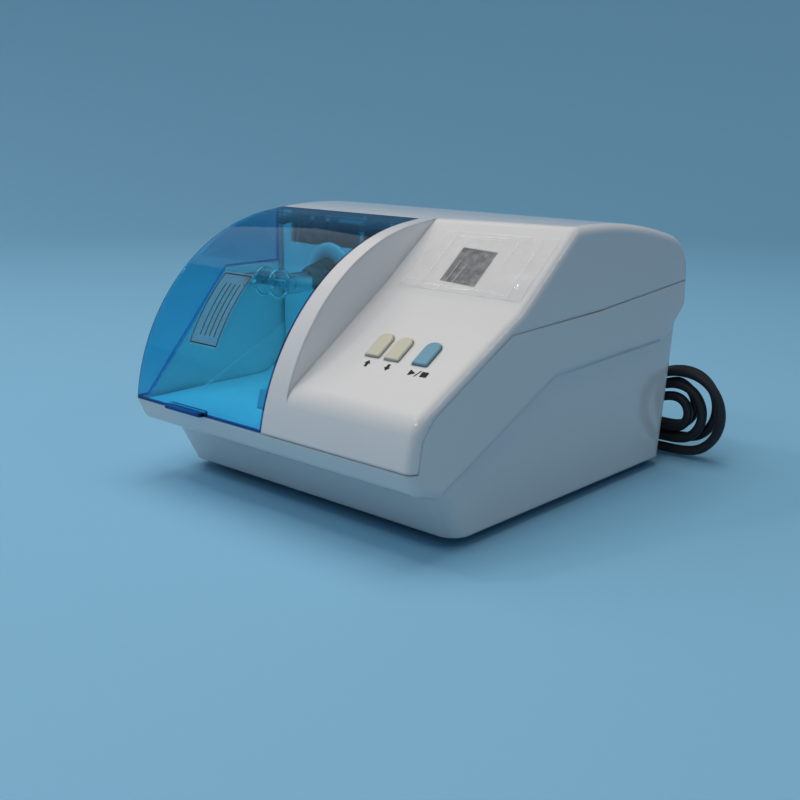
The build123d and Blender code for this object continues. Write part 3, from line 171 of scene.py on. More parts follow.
def make_cord():
    """One cord from the strain relief through the hank to the plug, as a smooth curve."""
    route = MAINS_ROUTE + hank_points() + LEAD_ROUTE
    data = bpy.data.curves.new("mains_cord_wire", "CURVE")
    data.dimensions = "3D"
    data.bevel_depth = 1.0    # multiplied by each point's radius, which the curve's own box takes in
    data.bevel_resolution = 5
    data.resolution_u = 6
    data.use_fill_caps = True
    spline = data.splines.new("NURBS")
    spline.points.add(len(route) - 1)
    for point, place in zip(spline.points, route):
        point.co = (*[v * MM for v in place], 1.0)
        point.radius = CORD_D / 2
    spline.order_u = 3
    spline.use_endpoint_u = True
    cord = bpy.data.objects.new("mains_cord_wire", data)
    bpy.context.scene.collection.objects.link(cord)
    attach(cord, "root")
    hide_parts("mains_cord", "cord_hank", "plug_lead")
    data.materials.append(MATERIALS["black_rubber"])
    return cord


# ---------------------------------------------------------------- materials
CLOUD_SCALE = 18.0            # of the colour of moulded pieces
PATCH_SCALE = 60.0            # of their gloss
COAT_ROUGHNESS = 0.07
GRAIN_STRENGTH = 0.25
STREAK_STRENGTH = 0.15
STREAK_DEPTH = 0.00003
BEVEL_SAMPLES = 6


def new_material(name):
    """Empty node material with its output, its shader and the object coordinates."""
    material = bpy.data.materials.new(name)
    material.use_nodes = True
    tree = material.node_tree
    tree.nodes.clear()
    output = tree.nodes.new("ShaderNodeOutputMaterial")
    shader = tree.nodes.new("ShaderNodeBsdfPrincipled")
    tree.links.new(shader.outputs[0], output.inputs["Surface"])
    place = tree.nodes.new("ShaderNodeTexCoord")
    return material, tree, shader, place.outputs["Object"]


def noise(tree, place, scale, detail=3.0, roughness=0.5):
    """Noise texture; the scale is in patches per metre."""
    node = tree.nodes.new("ShaderNodeTexNoise")
    node.inputs["Scale"].default_value = scale
    node.inputs["Detail"].default_value = detail
    node.inputs["Roughness"].default_value = roughness
    tree.links.new(place, node.inputs["Vector"])
    return node.outputs["Fac"]


def ramp(tree, value, low, high, low_at=0.3, high_at=0.7):
    """Colour ramp between two values or colours, which are reached at low_at and high_at."""
    node = tree.nodes.new("ShaderNodeValToRGB")
    for element, at, shade in zip(node.color_ramp.elements, (low_at, high_at), (low, high)):
        element.position = at
        element.color = (*shade, 1.0) if hasattr(shade, "__len__") else (shade, shade, shade, 1.0)
    tree.links.new(value, node.inputs["Fac"])
    return node.outputs["Color"]


def bump(tree, shader, height, strength, distance, edge=0.0):
    """Fine relief; edge is the radius in metres over which corners are shaded as if they were rounded."""
    node = tree.nodes.new("ShaderNodeBump")
    node.inputs["Strength"].default_value = strength
    node.inputs["Distance"].default_value = distance
    tree.links.new(height, node.inputs["Height"])
    if edge:
        rounding = tree.nodes.new("ShaderNodeBevel")
        rounding.samples = BEVEL_SAMPLES
        rounding.inputs["Radius"].default_value = edge
        tree.links.new(rounding.outputs["Normal"], node.inputs["Normal"])
    tree.links.new(node.outputs["Normal"], shader.inputs["Normal"])


def moulded(
    name, colour, roughness, spread=0.03, grain=900.0, depth=0.00002, coat=0.0, shade=0.03, edge=0.0
):
    """Moulded plastic or rubber: faint cloudiness of colour, uneven gloss and a fine surface grain.

    spread is how far the roughness varies, grain and depth are the relief's scale and height in metres,
    shade is how much darker the cloudy places are and edge is the radius that edges are shaded with.
    """
    material, tree, shader, place = new_material(name)
    cloud = noise(tree, place, CLOUD_SCALE)
    darker = tuple(c * (1 - shade) for c in colour)
    tree.links.new(ramp(tree, cloud, darker, colour), shader.inputs["Base Color"])
    patches = noise(tree, place, PATCH_SCALE, detail=4.0)
    gloss = ramp(tree, patches, max(roughness - spread, 0.02), roughness + spread)
    tree.links.new(gloss, shader.inputs["Roughness"])
    shader.inputs["Coat Weight"].default_value = coat
    shader.inputs["Coat Roughness"].default_value = COAT_ROUGHNESS
    bump(tree, shader, noise(tree, place, grain, detail=2.0), GRAIN_STRENGTH, depth, edge)
    return material


def metal(name, colour, roughness, brushed=(1.0, 1.0, 1.0), scale=400.0):
    """Metal with fine streaks, stretched along the axis whose factor in brushed is smallest."""
    material, tree, shader, place = new_material(name)
    mapping = tree.nodes.new("ShaderNodeMapping")
    mapping.inputs["Scale"].default_value = brushed
    tree.links.new(place, mapping.inputs["Vector"])
    streaks = noise(tree, mapping.outputs["Vector"], scale, detail=4.0, roughness=0.6)
    darker = tuple(c * 0.85 for c in colour)
    tree.links.new(ramp(tree, streaks, darker, colour), shader.inputs["Base Color"])
    tree.links.new(ramp(tree, streaks, roughness * 0.7, roughness * 1.3), shader.inputs["Roughness"])
    shader.inputs["Metallic"].default_value = 1.0
    bump(tree, shader, streaks, STREAK_STRENGTH, STREAK_DEPTH)
    return material


def math(tree, kind, first, second):
    """Math node; its two inputs are sockets or numbers."""
    node = tree.nodes.new("ShaderNodeMath")
    node.operation = kind
    for socket, value in zip(node.inputs, (first, second)):
        if isinstance(value, (int, float)):
            socket.default_value = value
        else:
            tree.links.new(value, socket)
    return node.outputs[0]


def axes(tree, place):
    """The three object coordinates as separate sockets."""
    node = tree.nodes.new("ShaderNodeSeparateXYZ")
    tree.links.new(place, node.inputs[0])
    return node.outputs


def between(tree, value, low, high):
    """1 where the value lies between two limits, else 0."""
    over = math(tree, "GREATER_THAN", value, low)
    return math(tree, "MULTIPLY", over, math(tree, "LESS_THAN", value, high))


def mixed(tree, factor, first, second):
    """The first shader where the factor is 0, the second where it is 1."""
    node = tree.nodes.new("ShaderNodeMixShader")
    tree.links.new(factor, node.inputs[0])
    tree.links.new(first, node.inputs[1])
    tree.links.new(second, node.inputs[2])
    return node.outputs[0]


def see_through(name, tint, density, roughness, ior, shadow_tint):
    """Clear plastic that takes its colour from its thickness, and lets tinted light through in its shadow.

    density is the absorption per metre, roughness the least one in its uneven gloss.
    """
    material, tree, shader, place = new_material(name)
    output = next(n for n in tree.nodes if n.type == "OUTPUT_MATERIAL")
    shader.inputs["Base Color"].default_value = (1, 1, 1, 1)
    shader.inputs["Transmission Weight"].default_value = 1.0
    shader.inputs["IOR"].default_value = ior
    smear = noise(tree, place, scale=35.0, detail=4.0)
    tree.links.new(ramp(tree, smear, roughness, roughness * 2.5), shader.inputs["Roughness"])
    absorb = tree.nodes.new("ShaderNodeVolumeAbsorption")
    absorb.inputs["Color"].default_value = (*tint, 1.0)
    absorb.inputs["Density"].default_value = density
    tree.links.new(absorb.outputs[0], output.inputs["Volume"])
    clear = tree.nodes.new("ShaderNodeBsdfTransparent")
    clear.inputs["Color"].default_value = (*shadow_tint, 1.0)
    path = tree.nodes.new("ShaderNodeLightPath")
    surface = mixed(tree, path.outputs["Is Shadow Ray"], shader.outputs[0], clear.outputs[0])
    tree.links.new(surface, output.inputs["Surface"])
    return material


LID_EDGE_X = 0.0035           # right edge of the lid at the crease
LID_EDGE_LEAN = 0.062         # how far that edge moves right per metre of height
CREASE_Z = 0.049              # height of the lid's lower front edge
LID_REAR_Y = -0.0102
LID_SKIRT_X = -0.1065         # what lies left of this is the side skirt
LID_SIDE_FOOT = (-0.114, 0.0494)  # y and z of the ends of the skirt's slanting lower edge
LID_SIDE_TOP = (-0.053, 0.118)
EDGE_SHADE_BAND = 0.0011            # how far the painted deep-blue edge shade reaches in
SLANT_SHADE_BAND = EDGE_SHADE_BAND * 1.6  # the same along Z over the slanting edge
EDGE_MARGIN = 0.0005          # added to the heights named above, where the moulded edge starts
# deep blue painted as shade along the lid's cut edges
PAINTED_EDGE_SHADE = (0.012, 0.07, 0.34)


def lid_plastic():
    """Transparent blue plastic with a deep-blue shade painted into its colour along the cut edges, where
    light passing along the edges makes them look dark.
    """
    material = see_through(
        "blue_lid", tint=(0.0, 0.72, 0.88), density=470.0, roughness=0.012, ior=1.45,
        shadow_tint=(0.60, 0.90, 0.98),
    )
    tree = material.node_tree
    shader = next(n for n in tree.nodes if n.type == "BSDF_PRINCIPLED")
    place = next(n for n in tree.nodes if n.type == "TEX_COORD").outputs["Object"]
    x, y, z = axes(tree, place)
    lean = math(tree, "MULTIPLY", z, LID_EDGE_LEAN)
    right = math(tree, "SUBTRACT", x, lean)
    right = math(tree, "GREATER_THAN", right, LID_EDGE_X - LID_EDGE_LEAN * CREASE_Z - EDGE_SHADE_BAND)
    low = math(tree, "LESS_THAN", z, CREASE_Z + EDGE_MARGIN + EDGE_SHADE_BAND)
    rear = math(tree, "GREATER_THAN", y, LID_REAR_Y - EDGE_SHADE_BAND)
    slope = (LID_SIDE_TOP[1] - LID_SIDE_FOOT[1]) / (LID_SIDE_TOP[0] - LID_SIDE_FOOT[0])
    line = math(tree, "MULTIPLY", y, slope)
    line = math(tree, "ADD", line, LID_SIDE_FOOT[1] - slope * LID_SIDE_FOOT[0] + SLANT_SHADE_BAND)
    line = math(tree, "MINIMUM", line, LID_SIDE_TOP[1] + EDGE_MARGIN + EDGE_SHADE_BAND)
    side = math(tree, "LESS_THAN", z, line)
    skirt = math(tree, "LESS_THAN", x, LID_SKIRT_X)
    side = math(tree, "MULTIPLY", side, skirt)
    # mask of the painted deep-blue edge shade: right edge, lower front edge, rear edge and the skirt's
    # slanting edge
    shaded_edges = right
    for other in (low, rear, side):
        shaded_edges = math(tree, "MAXIMUM", shaded_edges, other)
    colour = ramp(tree, shaded_edges, (1.0, 1.0, 1.0), PAINTED_EDGE_SHADE, low_at=0.2, high_at=0.8)
    tree.links.new(colour, shader.inputs["Base Color"])
    return material


LABEL_X = (-0.069, -0.044)
LABEL_Z = (0.086, 0.124)
LABEL_BORDER = 0.0009         # label edge to the printed frame
LABEL_LINE = 0.0005           # width of the printed lines
LABEL_RULES = (0.0072, 0.0112, 0.0152, 0.0192)  # from the label's left edge
LABEL_INK = (0.01, 0.02, 0.04, 1.0)
LABEL_PALE = (0.30, 0.42, 0.50, 1.0)


def label_print():
    """Hazy clear label with a dark printed frame and plain rules, nothing written on it."""
    material, tree, shader, place = new_material("label_film")
    output = next(n for n in tree.nodes if n.type == "OUTPUT_MATERIAL")
    x, _, z = axes(tree, place)
    outer = math(tree, "MULTIPLY",
                 between(tree, x, LABEL_X[0] + LABEL_BORDER, LABEL_X[1] - LABEL_BORDER),
                 between(tree, z, LABEL_Z[0] + LABEL_BORDER, LABEL_Z[1] - LABEL_BORDER))
    inset = LABEL_BORDER + LABEL_LINE
    inner = math(tree, "MULTIPLY",
                 between(tree, x, LABEL_X[0] + inset, LABEL_X[1] - inset),
                 between(tree, z, LABEL_Z[0] + inset, LABEL_Z[1] - inset))
    ink = math(tree, "SUBTRACT", outer, inner)
    length = between(tree, z, LABEL_Z[0] + 4 * inset, LABEL_Z[1] - 4 * inset)
    for rule in LABEL_RULES:
        stroke = between(tree, x, LABEL_X[0] + rule, LABEL_X[0] + rule + LABEL_LINE)
        ink = math(tree, "MAXIMUM", ink, math(tree, "MULTIPLY", stroke, length))
    shader.inputs["Base Color"].default_value = LABEL_INK
    tree.links.new(ramp(tree, noise(tree, place, scale=900.0), 0.3, 0.5), shader.inputs["Roughness"])
    pale = tree.nodes.new("ShaderNodeBsdfPrincipled")
    pale.inputs["Base Color"].default_value = LABEL_PALE
    pale.inputs["Roughness"].default_value = 0.25
    clear = tree.nodes.new("ShaderNodeBsdfTransparent")
    haze = ramp(tree, noise(tree, place, scale=45.0, detail=4.0), 0.12, 0.22)
    film = mixed(tree, haze, clear.outputs[0], pale.outputs[0])
    tree.links.new(mixed(tree, ink, film, shader.outputs[0]), output.inputs["Surface"])
    return material


def clear_film():
    """Thin clear film: see-through, with a face that mirrors more at a flat angle and a faint haze."""
    material, tree, shader, place = new_material("clear_film")
    output = next(n for n in tree.nodes if n.type == "OUTPUT_MATERIAL")
    shader.inputs["Base Color"].default_value = (0.93, 0.93, 0.94, 1.0)
    smear = noise(tree, place, scale=90.0, detail=4.0)
    tree.links.new(ramp(tree, smear, 0.05, 0.16), shader.inputs["Roughness"])
    clear = tree.nodes.new("ShaderNodeBsdfTransparent")
    weight = tree.nodes.new("ShaderNodeLayerWeight")
    weight.inputs["Blend"].default_value = 0.5
    gloss = ramp(tree, weight.outputs["Facing"], 0.06, 0.8, low_at=0.4, high_at=1.0)
    haze = ramp(tree, noise(tree, place, scale=45.0), 0.02, 0.14, low_at=0.45, high_at=0.75)
    factor = math(tree, "MINIMUM", math(tree, "ADD", gloss, haze), 1.0)
    ripples = noise(tree, place, scale=260.0, detail=4.0, roughness=0.6)
    bump(tree, shader, ripples, strength=0.5, distance=0.0002)
    tree.links.new(mixed(tree, factor, clear.outputs[0], shader.outputs[0]), output.inputs["Surface"])
    return material


WINDOW_DARK = (0.05, 0.052, 0.06)
WINDOW_PALE = (0.30, 0.30, 0.32)


def window_plastic():
    """Smoked window with the mottled grey of the unlit display behind it."""
    material, tree, shader, place = new_material("smoked_window")
    cloud = noise(tree, place, scale=210.0, detail=6.0, roughness=0.65)
    mottle = ramp(tree, cloud, WINDOW_DARK, WINDOW_PALE, low_at=0.4, high_at=0.68)
    tree.links.new(mottle, shader.inputs["Base Color"])
    tree.links.new(ramp(tree, noise(tree, place, scale=70.0), 0.1, 0.25), shader.inputs["Roughness"])
    shader.inputs["Coat Weight"].default_value = 0.6
    bump(tree, shader, noise(tree, place, scale=500.0), strength=0.2, distance=0.00003)
    return material


MATERIALS = {
    "white_casing": moulded(
        "white_casing", (0.80, 0.79, 0.79), roughness=0.13, spread=0.02, grain=1400.0, depth=0.000006,
        coat=0.45, shade=0.015, edge=0.0020,
    ),
    "blue_lid": lid_plastic(),
    "beige_key": moulded(
        "beige_key", (0.68, 0.65, 0.52), roughness=0.32, spread=0.04, grain=1500.0, edge=0.0007
    ),
    "blue_key": moulded(
        "blue_key", (0.19, 0.40, 0.52), roughness=0.32, spread=0.04, grain=1500.0, edge=0.0007
    ),
    "label_film": label_print(),
    "clear_film": clear_film(),
    "smoked_window": window_plastic(),
    "dark_plastic": moulded("dark_plastic", (0.022, 0.022, 0.025), roughness=0.42, spread=0.06, grain=1100.0),
    "liner_grey": moulded(
        "liner_grey", (0.82, 0.83, 0.84), roughness=0.34, spread=0.04, grain=1200.0, edge=0.0012
    ),
    "steel": metal("steel", (0.55, 0.55, 0.56), roughness=0.35, brushed=(1.0, 0.08, 1.0)),
    "bright_steel": metal(
        "bright_steel", (0.72, 0.72, 0.74), roughness=0.14, brushed=(1.0, 0.3, 1.0), scale=700.0
    ),
    "black_rubber": moulded(
        "black_rubber", (0.018, 0.018, 0.02), roughness=0.5, spread=0.06, grain=1600.0, depth=0.00004
    ),
    "circuit_board": moulded(
        "circuit_board", (0.02, 0.16, 0.07), roughness=0.35, spread=0.08, grain=700.0, depth=0.00005,
        shade=0.4,
    ),
    "brass": metal("brass", (0.70, 0.52, 0.22), roughness=0.28, brushed=(1.0, 0.2, 1.0)),
    "winding": moulded(
        "winding", (0.22, 0.11, 0.05), roughness=0.4, spread=0.1, grain=500.0, depth=0.0002, shade=0.5
    ),
    "aluminium": metal("aluminium", (0.68, 0.69, 0.70), roughness=0.3, brushed=(1.0, 0.1, 1.0)),
}
SIGN_INK = moulded("sign_ink", (0.012, 0.012, 0.014), roughness=0.45, spread=0.05)

for node_name, node in nodes.items():
    node.data.materials.clear()
    node.data.materials.append(MATERIALS[node_slots[node_name]])

# the magnet is seen through the lid in front of the liner, so it takes the liner's looks
nodes["lid_magnet"].data.materials[0] = MATERIALS["liner_grey"]

# ---------------------------------------------------------------- control panel: printed signs
# Measures in millimetres.
SPINE_X = 20.0                # left and right profile of the panel floor, and the (y, z) of their corners
PANEL_EDGE_X = 112.0
PANEL_LEFT = ((-112.5, 77.6), (-50.0, 119.3), (-4.5, 153.8))
PANEL_RIGHT = ((-118.5, 74.6), (-39.6, 116.3), (5.5, 153.8))
PANEL_SKEW = 0.06             # how far the signs' baselines move back per millimetre to the right


def panel_height(x, y):
    """Height of the panel floor.

    It has two slopes, whose three corner points run in straight lines from the left to the right profile.
    """
    share = (x - SPINE_X) / (PANEL_EDGE_X - SPINE_X)
    (y0, z0), (y1, z1), (y2, z2) = (
        [a + (b - a) * share for a, b in zip(left, right)] for left, right in zip(PANEL_LEFT, PANEL_RIGHT)
    )
    front = z1 + (z1 - z0) / (y1 - y0) * (y - y1)
    rear = z1 + (z2 - z1) / (y2 - y1) * (y - y1)
    return np.maximum(front, rear)


def panel_frame(x, y):
    """Origin, direction to the right, direction up the slope and normal of the panel floor at x, y."""
    slope_x = (panel_height(x + 1, y) - panel_height(x - 1, y)) / 2
    slope_y = (panel_height(x, y + 1) - panel_height(x, y - 1)) / 2
    normal = np.array([-slope_x, -slope_y, 1.0])
    normal /= np.linalg.norm(normal)
    across = np.array([1.0, PANEL_SKEW, slope_x + slope_y * PANEL_SKEW])
    across /= np.linalg.norm(across)
    return np.array([x, y, panel_height(x, y)]), across, np.cross(normal, across), normal


def new_piece(name, points, faces, body, slot, smooth=True, material=None):
    """Mesh object from points in millimetres, riding on a body if one is given.

    It has its slot's material, unless another one is given.
    """
    mesh = bpy.data.meshes.new(name)
    mesh.from_pydata(np.asarray(points) * MM, [], [list(map(int, face)) for face in faces])
    mesh.validate()
    if smooth:
        mesh.shade_smooth()
    piece = bpy.data.objects.new(name, mesh)
    bpy.context.scene.collection.objects.link(piece)
    mesh.materials.append(material or MATERIALS[slot])
    if body:
        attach(piece, body)
    return piece


PRINT_THICK = 0.06            # of the printed signs
PRINT_LIFT = 0.02             # of the signs over the panel floor


def sign(name, place, outlines):
    """Flat printed sign of thin prisms.

    Each outline is in millimetres to the right and up the slope from the place, and gives one prism.
    """
    origin, across, up, normal = panel_frame(*place)
    points, faces = [], []
    for outline in outlines:
        flat = np.asarray(outline, dtype=float)
        count, start = len(flat), len(points)
        plane = origin + flat[:, :1] * across + flat[:, 1:] * up
        points += list(plane + normal * PRINT_LIFT) + list(plane + normal * (PRINT_LIFT + PRINT_THICK))
        faces.append([start + i for i in reversed(range(count))])
        faces.append([start + count + i for i in range(count)])
        faces += [
            [start + i, start + (i + 1) % count, start + count + (i + 1) % count, start + count + i]
            for i in range(count)
        ]
    return new_piece(name, points, faces, "root", "dark_plastic", smooth=False, material=SIGN_INK)


ARROW = [(-0.8, -2.2), (0.8, -2.2), (0.8, 0.1), (1.9, 0.1), (0.0, 2.4), (-1.9, 0.1), (-0.8, 0.1)]
PLAY = [(-6.4, -2.0), (-2.6, 0.0), (-6.4, 2.0)]
SLASH = [(-2.3, -2.2), (-1.8, -2.2), (0.1, 2.2), (-0.4, 2.2)]
STOP = [(1.0, -1.8), (5.0, -1.8), (5.0, 1.8), (1.0, 1.8)]
sign("up_sign", (51.6, -93.7), [ARROW])
sign("down_sign", (65.2, -93.2), [[(x, -y) for x, y in reversed(ARROW)]])
sign("start_stop_sign", (86.1, -92.6), [PLAY, SLASH, STOP])

# ---------------------------------------------------------------- bellows round the mixing arm
# Measures in millimetres. Profiles are (y, radius) about the drive axis, which lies along Y.
AXIS_X = -61.0
AXIS_Z = 114.0
PLATE_OUTLINE = [
    (-10.9, 17.2), (-11.1, 19.0), (-10.2, 19.6), (-9.15, 19.6), (-9.15, 15.6), (-10.0, 11.0), (-11.9, 10.6),
]
BELLOWS_Y = (-11.0, -29.5)    # foot and tip
BELLOWS_R = (10.2, 5.6)       # the same, in the middle of the folds
BELLOWS_FOLDS = 5
BELLOWS_DEPTH = 1.1           # from valley to ridge
BELLOWS_WALL = 0.9
BELLOWS_LIP = 0.6             # how far the tip's rim stands forward
FOLD_STEPS = 12
ROUND_STEPS = 72
MERGE_WITHIN = 1e-7           # metres


def turned(name, profile, slot, body):
    """Closed profile of (y, radius) points turned about the drive axis."""
    y, radius = np.asarray(profile, dtype=float).T
    angle = np.linspace(0, 2 * np.pi, ROUND_STEPS, endpoint=False)
    xyz = np.stack([
        AXIS_X + np.outer(radius, np.cos(angle)),
        np.repeat(y[:, None], ROUND_STEPS, 1),
        AXIS_Z + np.outer(radius, np.sin(angle)),
    ], -1).reshape(-1, 3)
    rows = len(y)
    i, j = np.meshgrid(np.arange(rows), np.arange(ROUND_STEPS), indexing="ij")
    next_i, next_j = (i + 1) % rows, (j + 1) % ROUND_STEPS
    here, beyond = i * ROUND_STEPS, next_i * ROUND_STEPS
    faces = np.stack([here + j, here + next_j, beyond + next_j, beyond + j], -1)
    piece = new_piece(name, xyz, faces.reshape(-1, 4), body, slot)
    point_outwards(piece)
    return piece


def point_outwards(piece):
    """Turn the faces of a closed mesh outwards."""
    work = bmesh.new()
    work.from_mesh(piece.data)
    bmesh.ops.remove_doubles(work, verts=work.verts, dist=MERGE_WITHIN)
    bmesh.ops.recalc_face_normals(work, faces=work.faces)
    work.to_mesh(piece.data)
    work.free()


def make_boot():
    """Rubber bellows round the mixing arm, and the plate round the hole that it comes out of.

    The bellows' radius falls in a straight line from its foot to its tip, plus a sine wave for the folds.
    """
    turned("arm_boot_plate", PLATE_OUTLINE, "liner_grey", "root")
    share = np.linspace(0, 1, FOLD_STEPS * BELLOWS_FOLDS + 1)
    y = BELLOWS_Y[0] + (BELLOWS_Y[1] - BELLOWS_Y[0]) * share
    radius = BELLOWS_R[0] + (BELLOWS_R[1] - BELLOWS_R[0]) * share
    radius += BELLOWS_DEPTH / 2 * np.sin(2 * np.pi * BELLOWS_FOLDS * share)
    outside = list(zip(y, radius))
    inside = [(py, pr - BELLOWS_WALL) for py, pr in reversed(outside)]
    lip = (BELLOWS_Y[1] - BELLOWS_LIP, BELLOWS_R[1] - BELLOWS_WALL / 2)
    bellows = turned("arm_boot_bellows", outside + [lip] + inside, "black_rubber", None)
    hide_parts("arm_boot")
    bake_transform(bellows)


make_boot()

# ---------------------------------------------------------------- clear film over the display
# Lengths in millimetres. Places on the film are shares: u across it from the left, v up the slope.
FILM_X = (30.0, 104.5)
FILM_REACH = (3.5, 38.0)      # from the bend of the panel, along Y
FILM_LIFT = 0.22              # over the panel floor
FILM_THICK = 0.08
FILM_ROWS, FILM_COLUMNS = 90, 180
WAVE_HEIGHTS = (0.09, 0.05)
ALL_ALONG = np.inf            # fade length of a crease that keeps its height
# height, u at the film's foot, lean, width, v of the highest place, fade length
CREASES_UP = [
    (0.60, 0.34, 0.02, 0.006, 0.10, 0.40),
    (0.55, 0.40, 0.03, 0.006, 0.05, 0.35),
    (0.50, 0.16, 0.00, 0.005, 0.00, ALL_ALONG),
    (0.50, 0.89, -0.02, 0.005, 0.00, ALL_ALONG),
    (0.50, 0.66, 0.05, 0.005, 0.75, 0.30),
]
# height, v, width, u of the highest place, fade length
CREASES_ACROSS = [
    (0.45, 0.93, 0.012, 0.50, 0.40),
    (0.45, 0.07, 0.010, 0.45, 0.45),
]
# height, u, v, how strongly v counts in the distance, width
LOOSE_PLACES = [
    (1.1, 0.00, 0.00, 0.6, 0.14),
    (1.3, 0.93, 0.28, 1.0, 0.12),
    (0.7, 0.62, 1.00, 1.0, 0.10),
]


def bell(distance, width):
    """Bell curve of height 1."""
    return np.exp(-(distance / width) ** 2)


def lay_film():
    """Clear film over the display: follows the panel, with soft creases and places that have come loose.

    Its lift is a constant, plus slow waves, plus narrow bell curves across the creases, plus a broad bell at
    each loose place.
    """
    u, v = np.meshgrid(np.linspace(0, 1, FILM_COLUMNS), np.linspace(0, 1, FILM_ROWS))
    x = FILM_X[0] + (FILM_X[1] - FILM_X[0]) * u
    share = (x - SPINE_X) / (PANEL_EDGE_X - SPINE_X)
    bend_y = PANEL_LEFT[1][0] + (PANEL_RIGHT[1][0] - PANEL_LEFT[1][0]) * share
    y = bend_y + FILM_REACH[0] + (FILM_REACH[1] - FILM_REACH[0]) * v
    waves = WAVE_HEIGHTS[0] * np.sin(11 * u + 3 * v) * np.sin(7 * v + 2 * u)
    waves += WAVE_HEIGHTS[1] * np.sin(23 * u - 9 * v)
    creases = np.zeros_like(u)
    for height, at_u, lean, width, at_v, fade in CREASES_UP:
        creases += height * bell(u - at_u - lean * v, width) * bell(v - at_v, fade)
    for height, at_v, width, at_u, fade in CREASES_ACROSS:
        creases += height * bell(v - at_v, width) * bell(u - at_u, fade)
    loose = np.zeros_like(u)
    for height, at_u, at_v, stretch, width in LOOSE_PLACES:
        loose += height * bell(np.hypot(u - at_u, (v - at_v) * stretch), width)
    lift = FILM_LIFT + np.maximum(waves + creases + loose, 0)
    z = panel_height(x, y)
    slope = panel_height(x, y + 0.5) - panel_height(x, y - 0.5)
    length = np.hypot(1, slope)
    xyz = np.stack([x, y - lift * slope / length, z + lift / length], -1).reshape(-1, 3)
    i, j = np.meshgrid(np.arange(FILM_ROWS - 1), np.arange(FILM_COLUMNS - 1), indexing="ij")
    corner = i * FILM_COLUMNS + j
    faces = np.stack([corner, corner + 1, corner + FILM_COLUMNS + 1, corner + FILM_COLUMNS], -1)
    film = new_piece("display_film_sheet", xyz, faces.reshape(-1, 4), "root", "clear_film")
    solid = film.modifiers.new("thickness", "SOLIDIFY")
    solid.thickness = FILM_THICK * MM
    solid.offset = 1.0
    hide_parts("display_film")


lay_film()

# ---------------------------------------------------------------- cord, laid out
cord = make_cord()

# ---------------------------------------------------------------- studio
FLOOR_FLAT = 1.3              # radius of the flat floor
FLOOR_RINGS = [0.0, 0.3, 0.6, 0.9]
BOWL_CURVE = 0.9              # radius of the curve between the floor and the wall round it
BOWL_HEIGHT = 2.4
BOWL_BEND_STEPS = 24
BOWL_COLUMNS = 96
BACKDROP = (0.25, 0.53, 0.75)  # as seen and mirrored
BOUNCE = (0.27, 0.45, 0.60)   # as it throws light back
BACKDROP_ROUGHNESS = 0.75
LAMP_COLOUR = (1.0, 0.95, 0.89)  # slightly warm, against the blue that the bowl throws back
WORLD_COLOUR = (0.9, 0.9, 0.9, 1.0)
WORLD_STRENGTH = 0.22


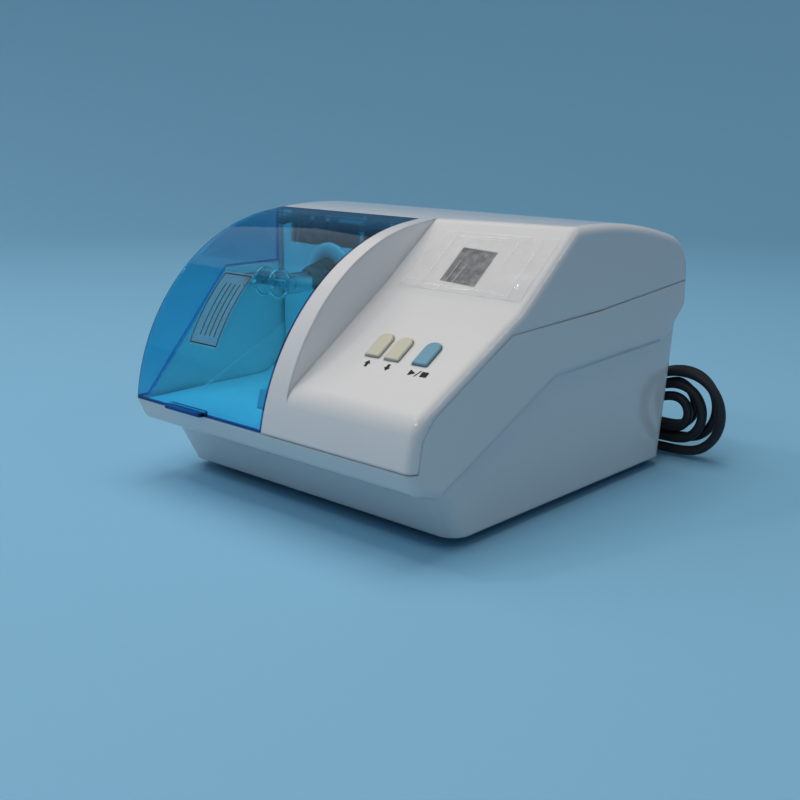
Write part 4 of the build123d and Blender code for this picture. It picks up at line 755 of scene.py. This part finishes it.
def make_bowl():
    """Round studio floor that curves up into a wall, as a profile turned about the vertical axis."""
    bend = np.linspace(0, np.pi / 2, BOWL_BEND_STEPS)
    wall = FLOOR_FLAT + BOWL_CURVE
    radius = np.concatenate([FLOOR_RINGS, FLOOR_FLAT + BOWL_CURVE * np.sin(bend), [wall]])
    height = np.concatenate([[0.0] * len(FLOOR_RINGS), BOWL_CURVE * (1 - np.cos(bend)), [BOWL_HEIGHT]])
    around = np.linspace(0, 2 * np.pi, BOWL_COLUMNS, endpoint=False)
    rows, columns = len(radius), len(around)
    xyz = np.stack([
        np.outer(radius, np.cos(around)),
        np.outer(radius, np.sin(around)),
        np.repeat(height[:, None], columns, 1),
    ], axis=-1).reshape(-1, 3)
    i, j = np.meshgrid(np.arange(rows - 1), np.arange(columns), indexing="ij")
    k = (j + 1) % columns
    faces = np.stack([i * columns + j, (i + 1) * columns + j, (i + 1) * columns + k, i * columns + k], -1)
    mesh = bpy.data.meshes.new("studio_floor")
    mesh.from_pydata(xyz, [], faces.reshape(-1, 4).tolist())
    mesh.shade_smooth()
    floor = bpy.data.objects.new("studio_floor", mesh)
    bpy.context.scene.collection.objects.link(floor)
    material, tree, shader, _ = new_material("studio_floor")
    path = tree.nodes.new("ShaderNodeLightPath")
    seen = math(tree, "MAXIMUM", path.outputs["Is Camera Ray"], path.outputs["Is Glossy Ray"])
    seen = math(tree, "MAXIMUM", seen, path.outputs["Is Transmission Ray"])
    colour = ramp(tree, seen, BOUNCE, BACKDROP, low_at=0.2, high_at=0.8)
    tree.links.new(colour, shader.inputs["Base Color"])
    shader.inputs["Roughness"].default_value = BACKDROP_ROUGHNESS
    mesh.materials.append(material)


def make_light(name, at, towards, size, power, mirrored=True):
    """Soft box; one that isn't mirrored lights the machine without showing in its glossy faces."""
    data = bpy.data.lights.new(name, "AREA")
    data.shape = "RECTANGLE"
    data.size, data.size_y = size
    data.energy = power
    data.color = LAMP_COLOUR
    light = bpy.data.objects.new(name, data)
    bpy.context.scene.collection.objects.link(light)
    light.visible_glossy = mirrored
    light.location = at
    light.rotation_mode = "QUATERNION"
    light.rotation_quaternion = (Vector(towards) - Vector(at)).to_track_quat("-Z", "Y")


def make_world():
    """Faint even light from all round."""
    world = bpy.data.worlds.new("studio")
    bpy.context.scene.world = world
    world.use_nodes = True
    tree = world.node_tree
    background = next(n for n in tree.nodes if n.type == "BACKGROUND")
    background.inputs["Color"].default_value = WORLD_COLOUR
    background.inputs["Strength"].default_value = WORLD_STRENGTH


make_bowl()
make_world()
make_light(
    "key_light", at=(-1.3, -0.7, 1.2), towards=(0, 0, 0.08), size=(1.6, 1.6), power=7.5, mirrored=False
)
make_light("gloss_light", at=(-1.35, 0.35, 1.45), towards=(0, 0, 0.1), size=(1.1, 0.9), power=0.9)
make_light("glint_light", at=(-0.72, -0.56, 1.4), towards=(0, 0, 0.1), size=(0.13, 0.13), power=1.8)
make_light("edge_light", at=(1.25, 0.3, 1.25), towards=(0.1, 0, 0.1), size=(0.7, 0.09), power=1.1)
make_light(
    "top_light", at=(-0.1, 0.0, 1.7), towards=(0, 0, 0.1), size=(1.4, 1.0), power=12.4, mirrored=False
)
make_light("crest_light", at=(0.25, -1.2, 1.5), towards=(0, -0.1, 0.1), size=(0.8, 0.14), power=3.2)
bpy.context.scene.view_settings.view_transform = "Standard"
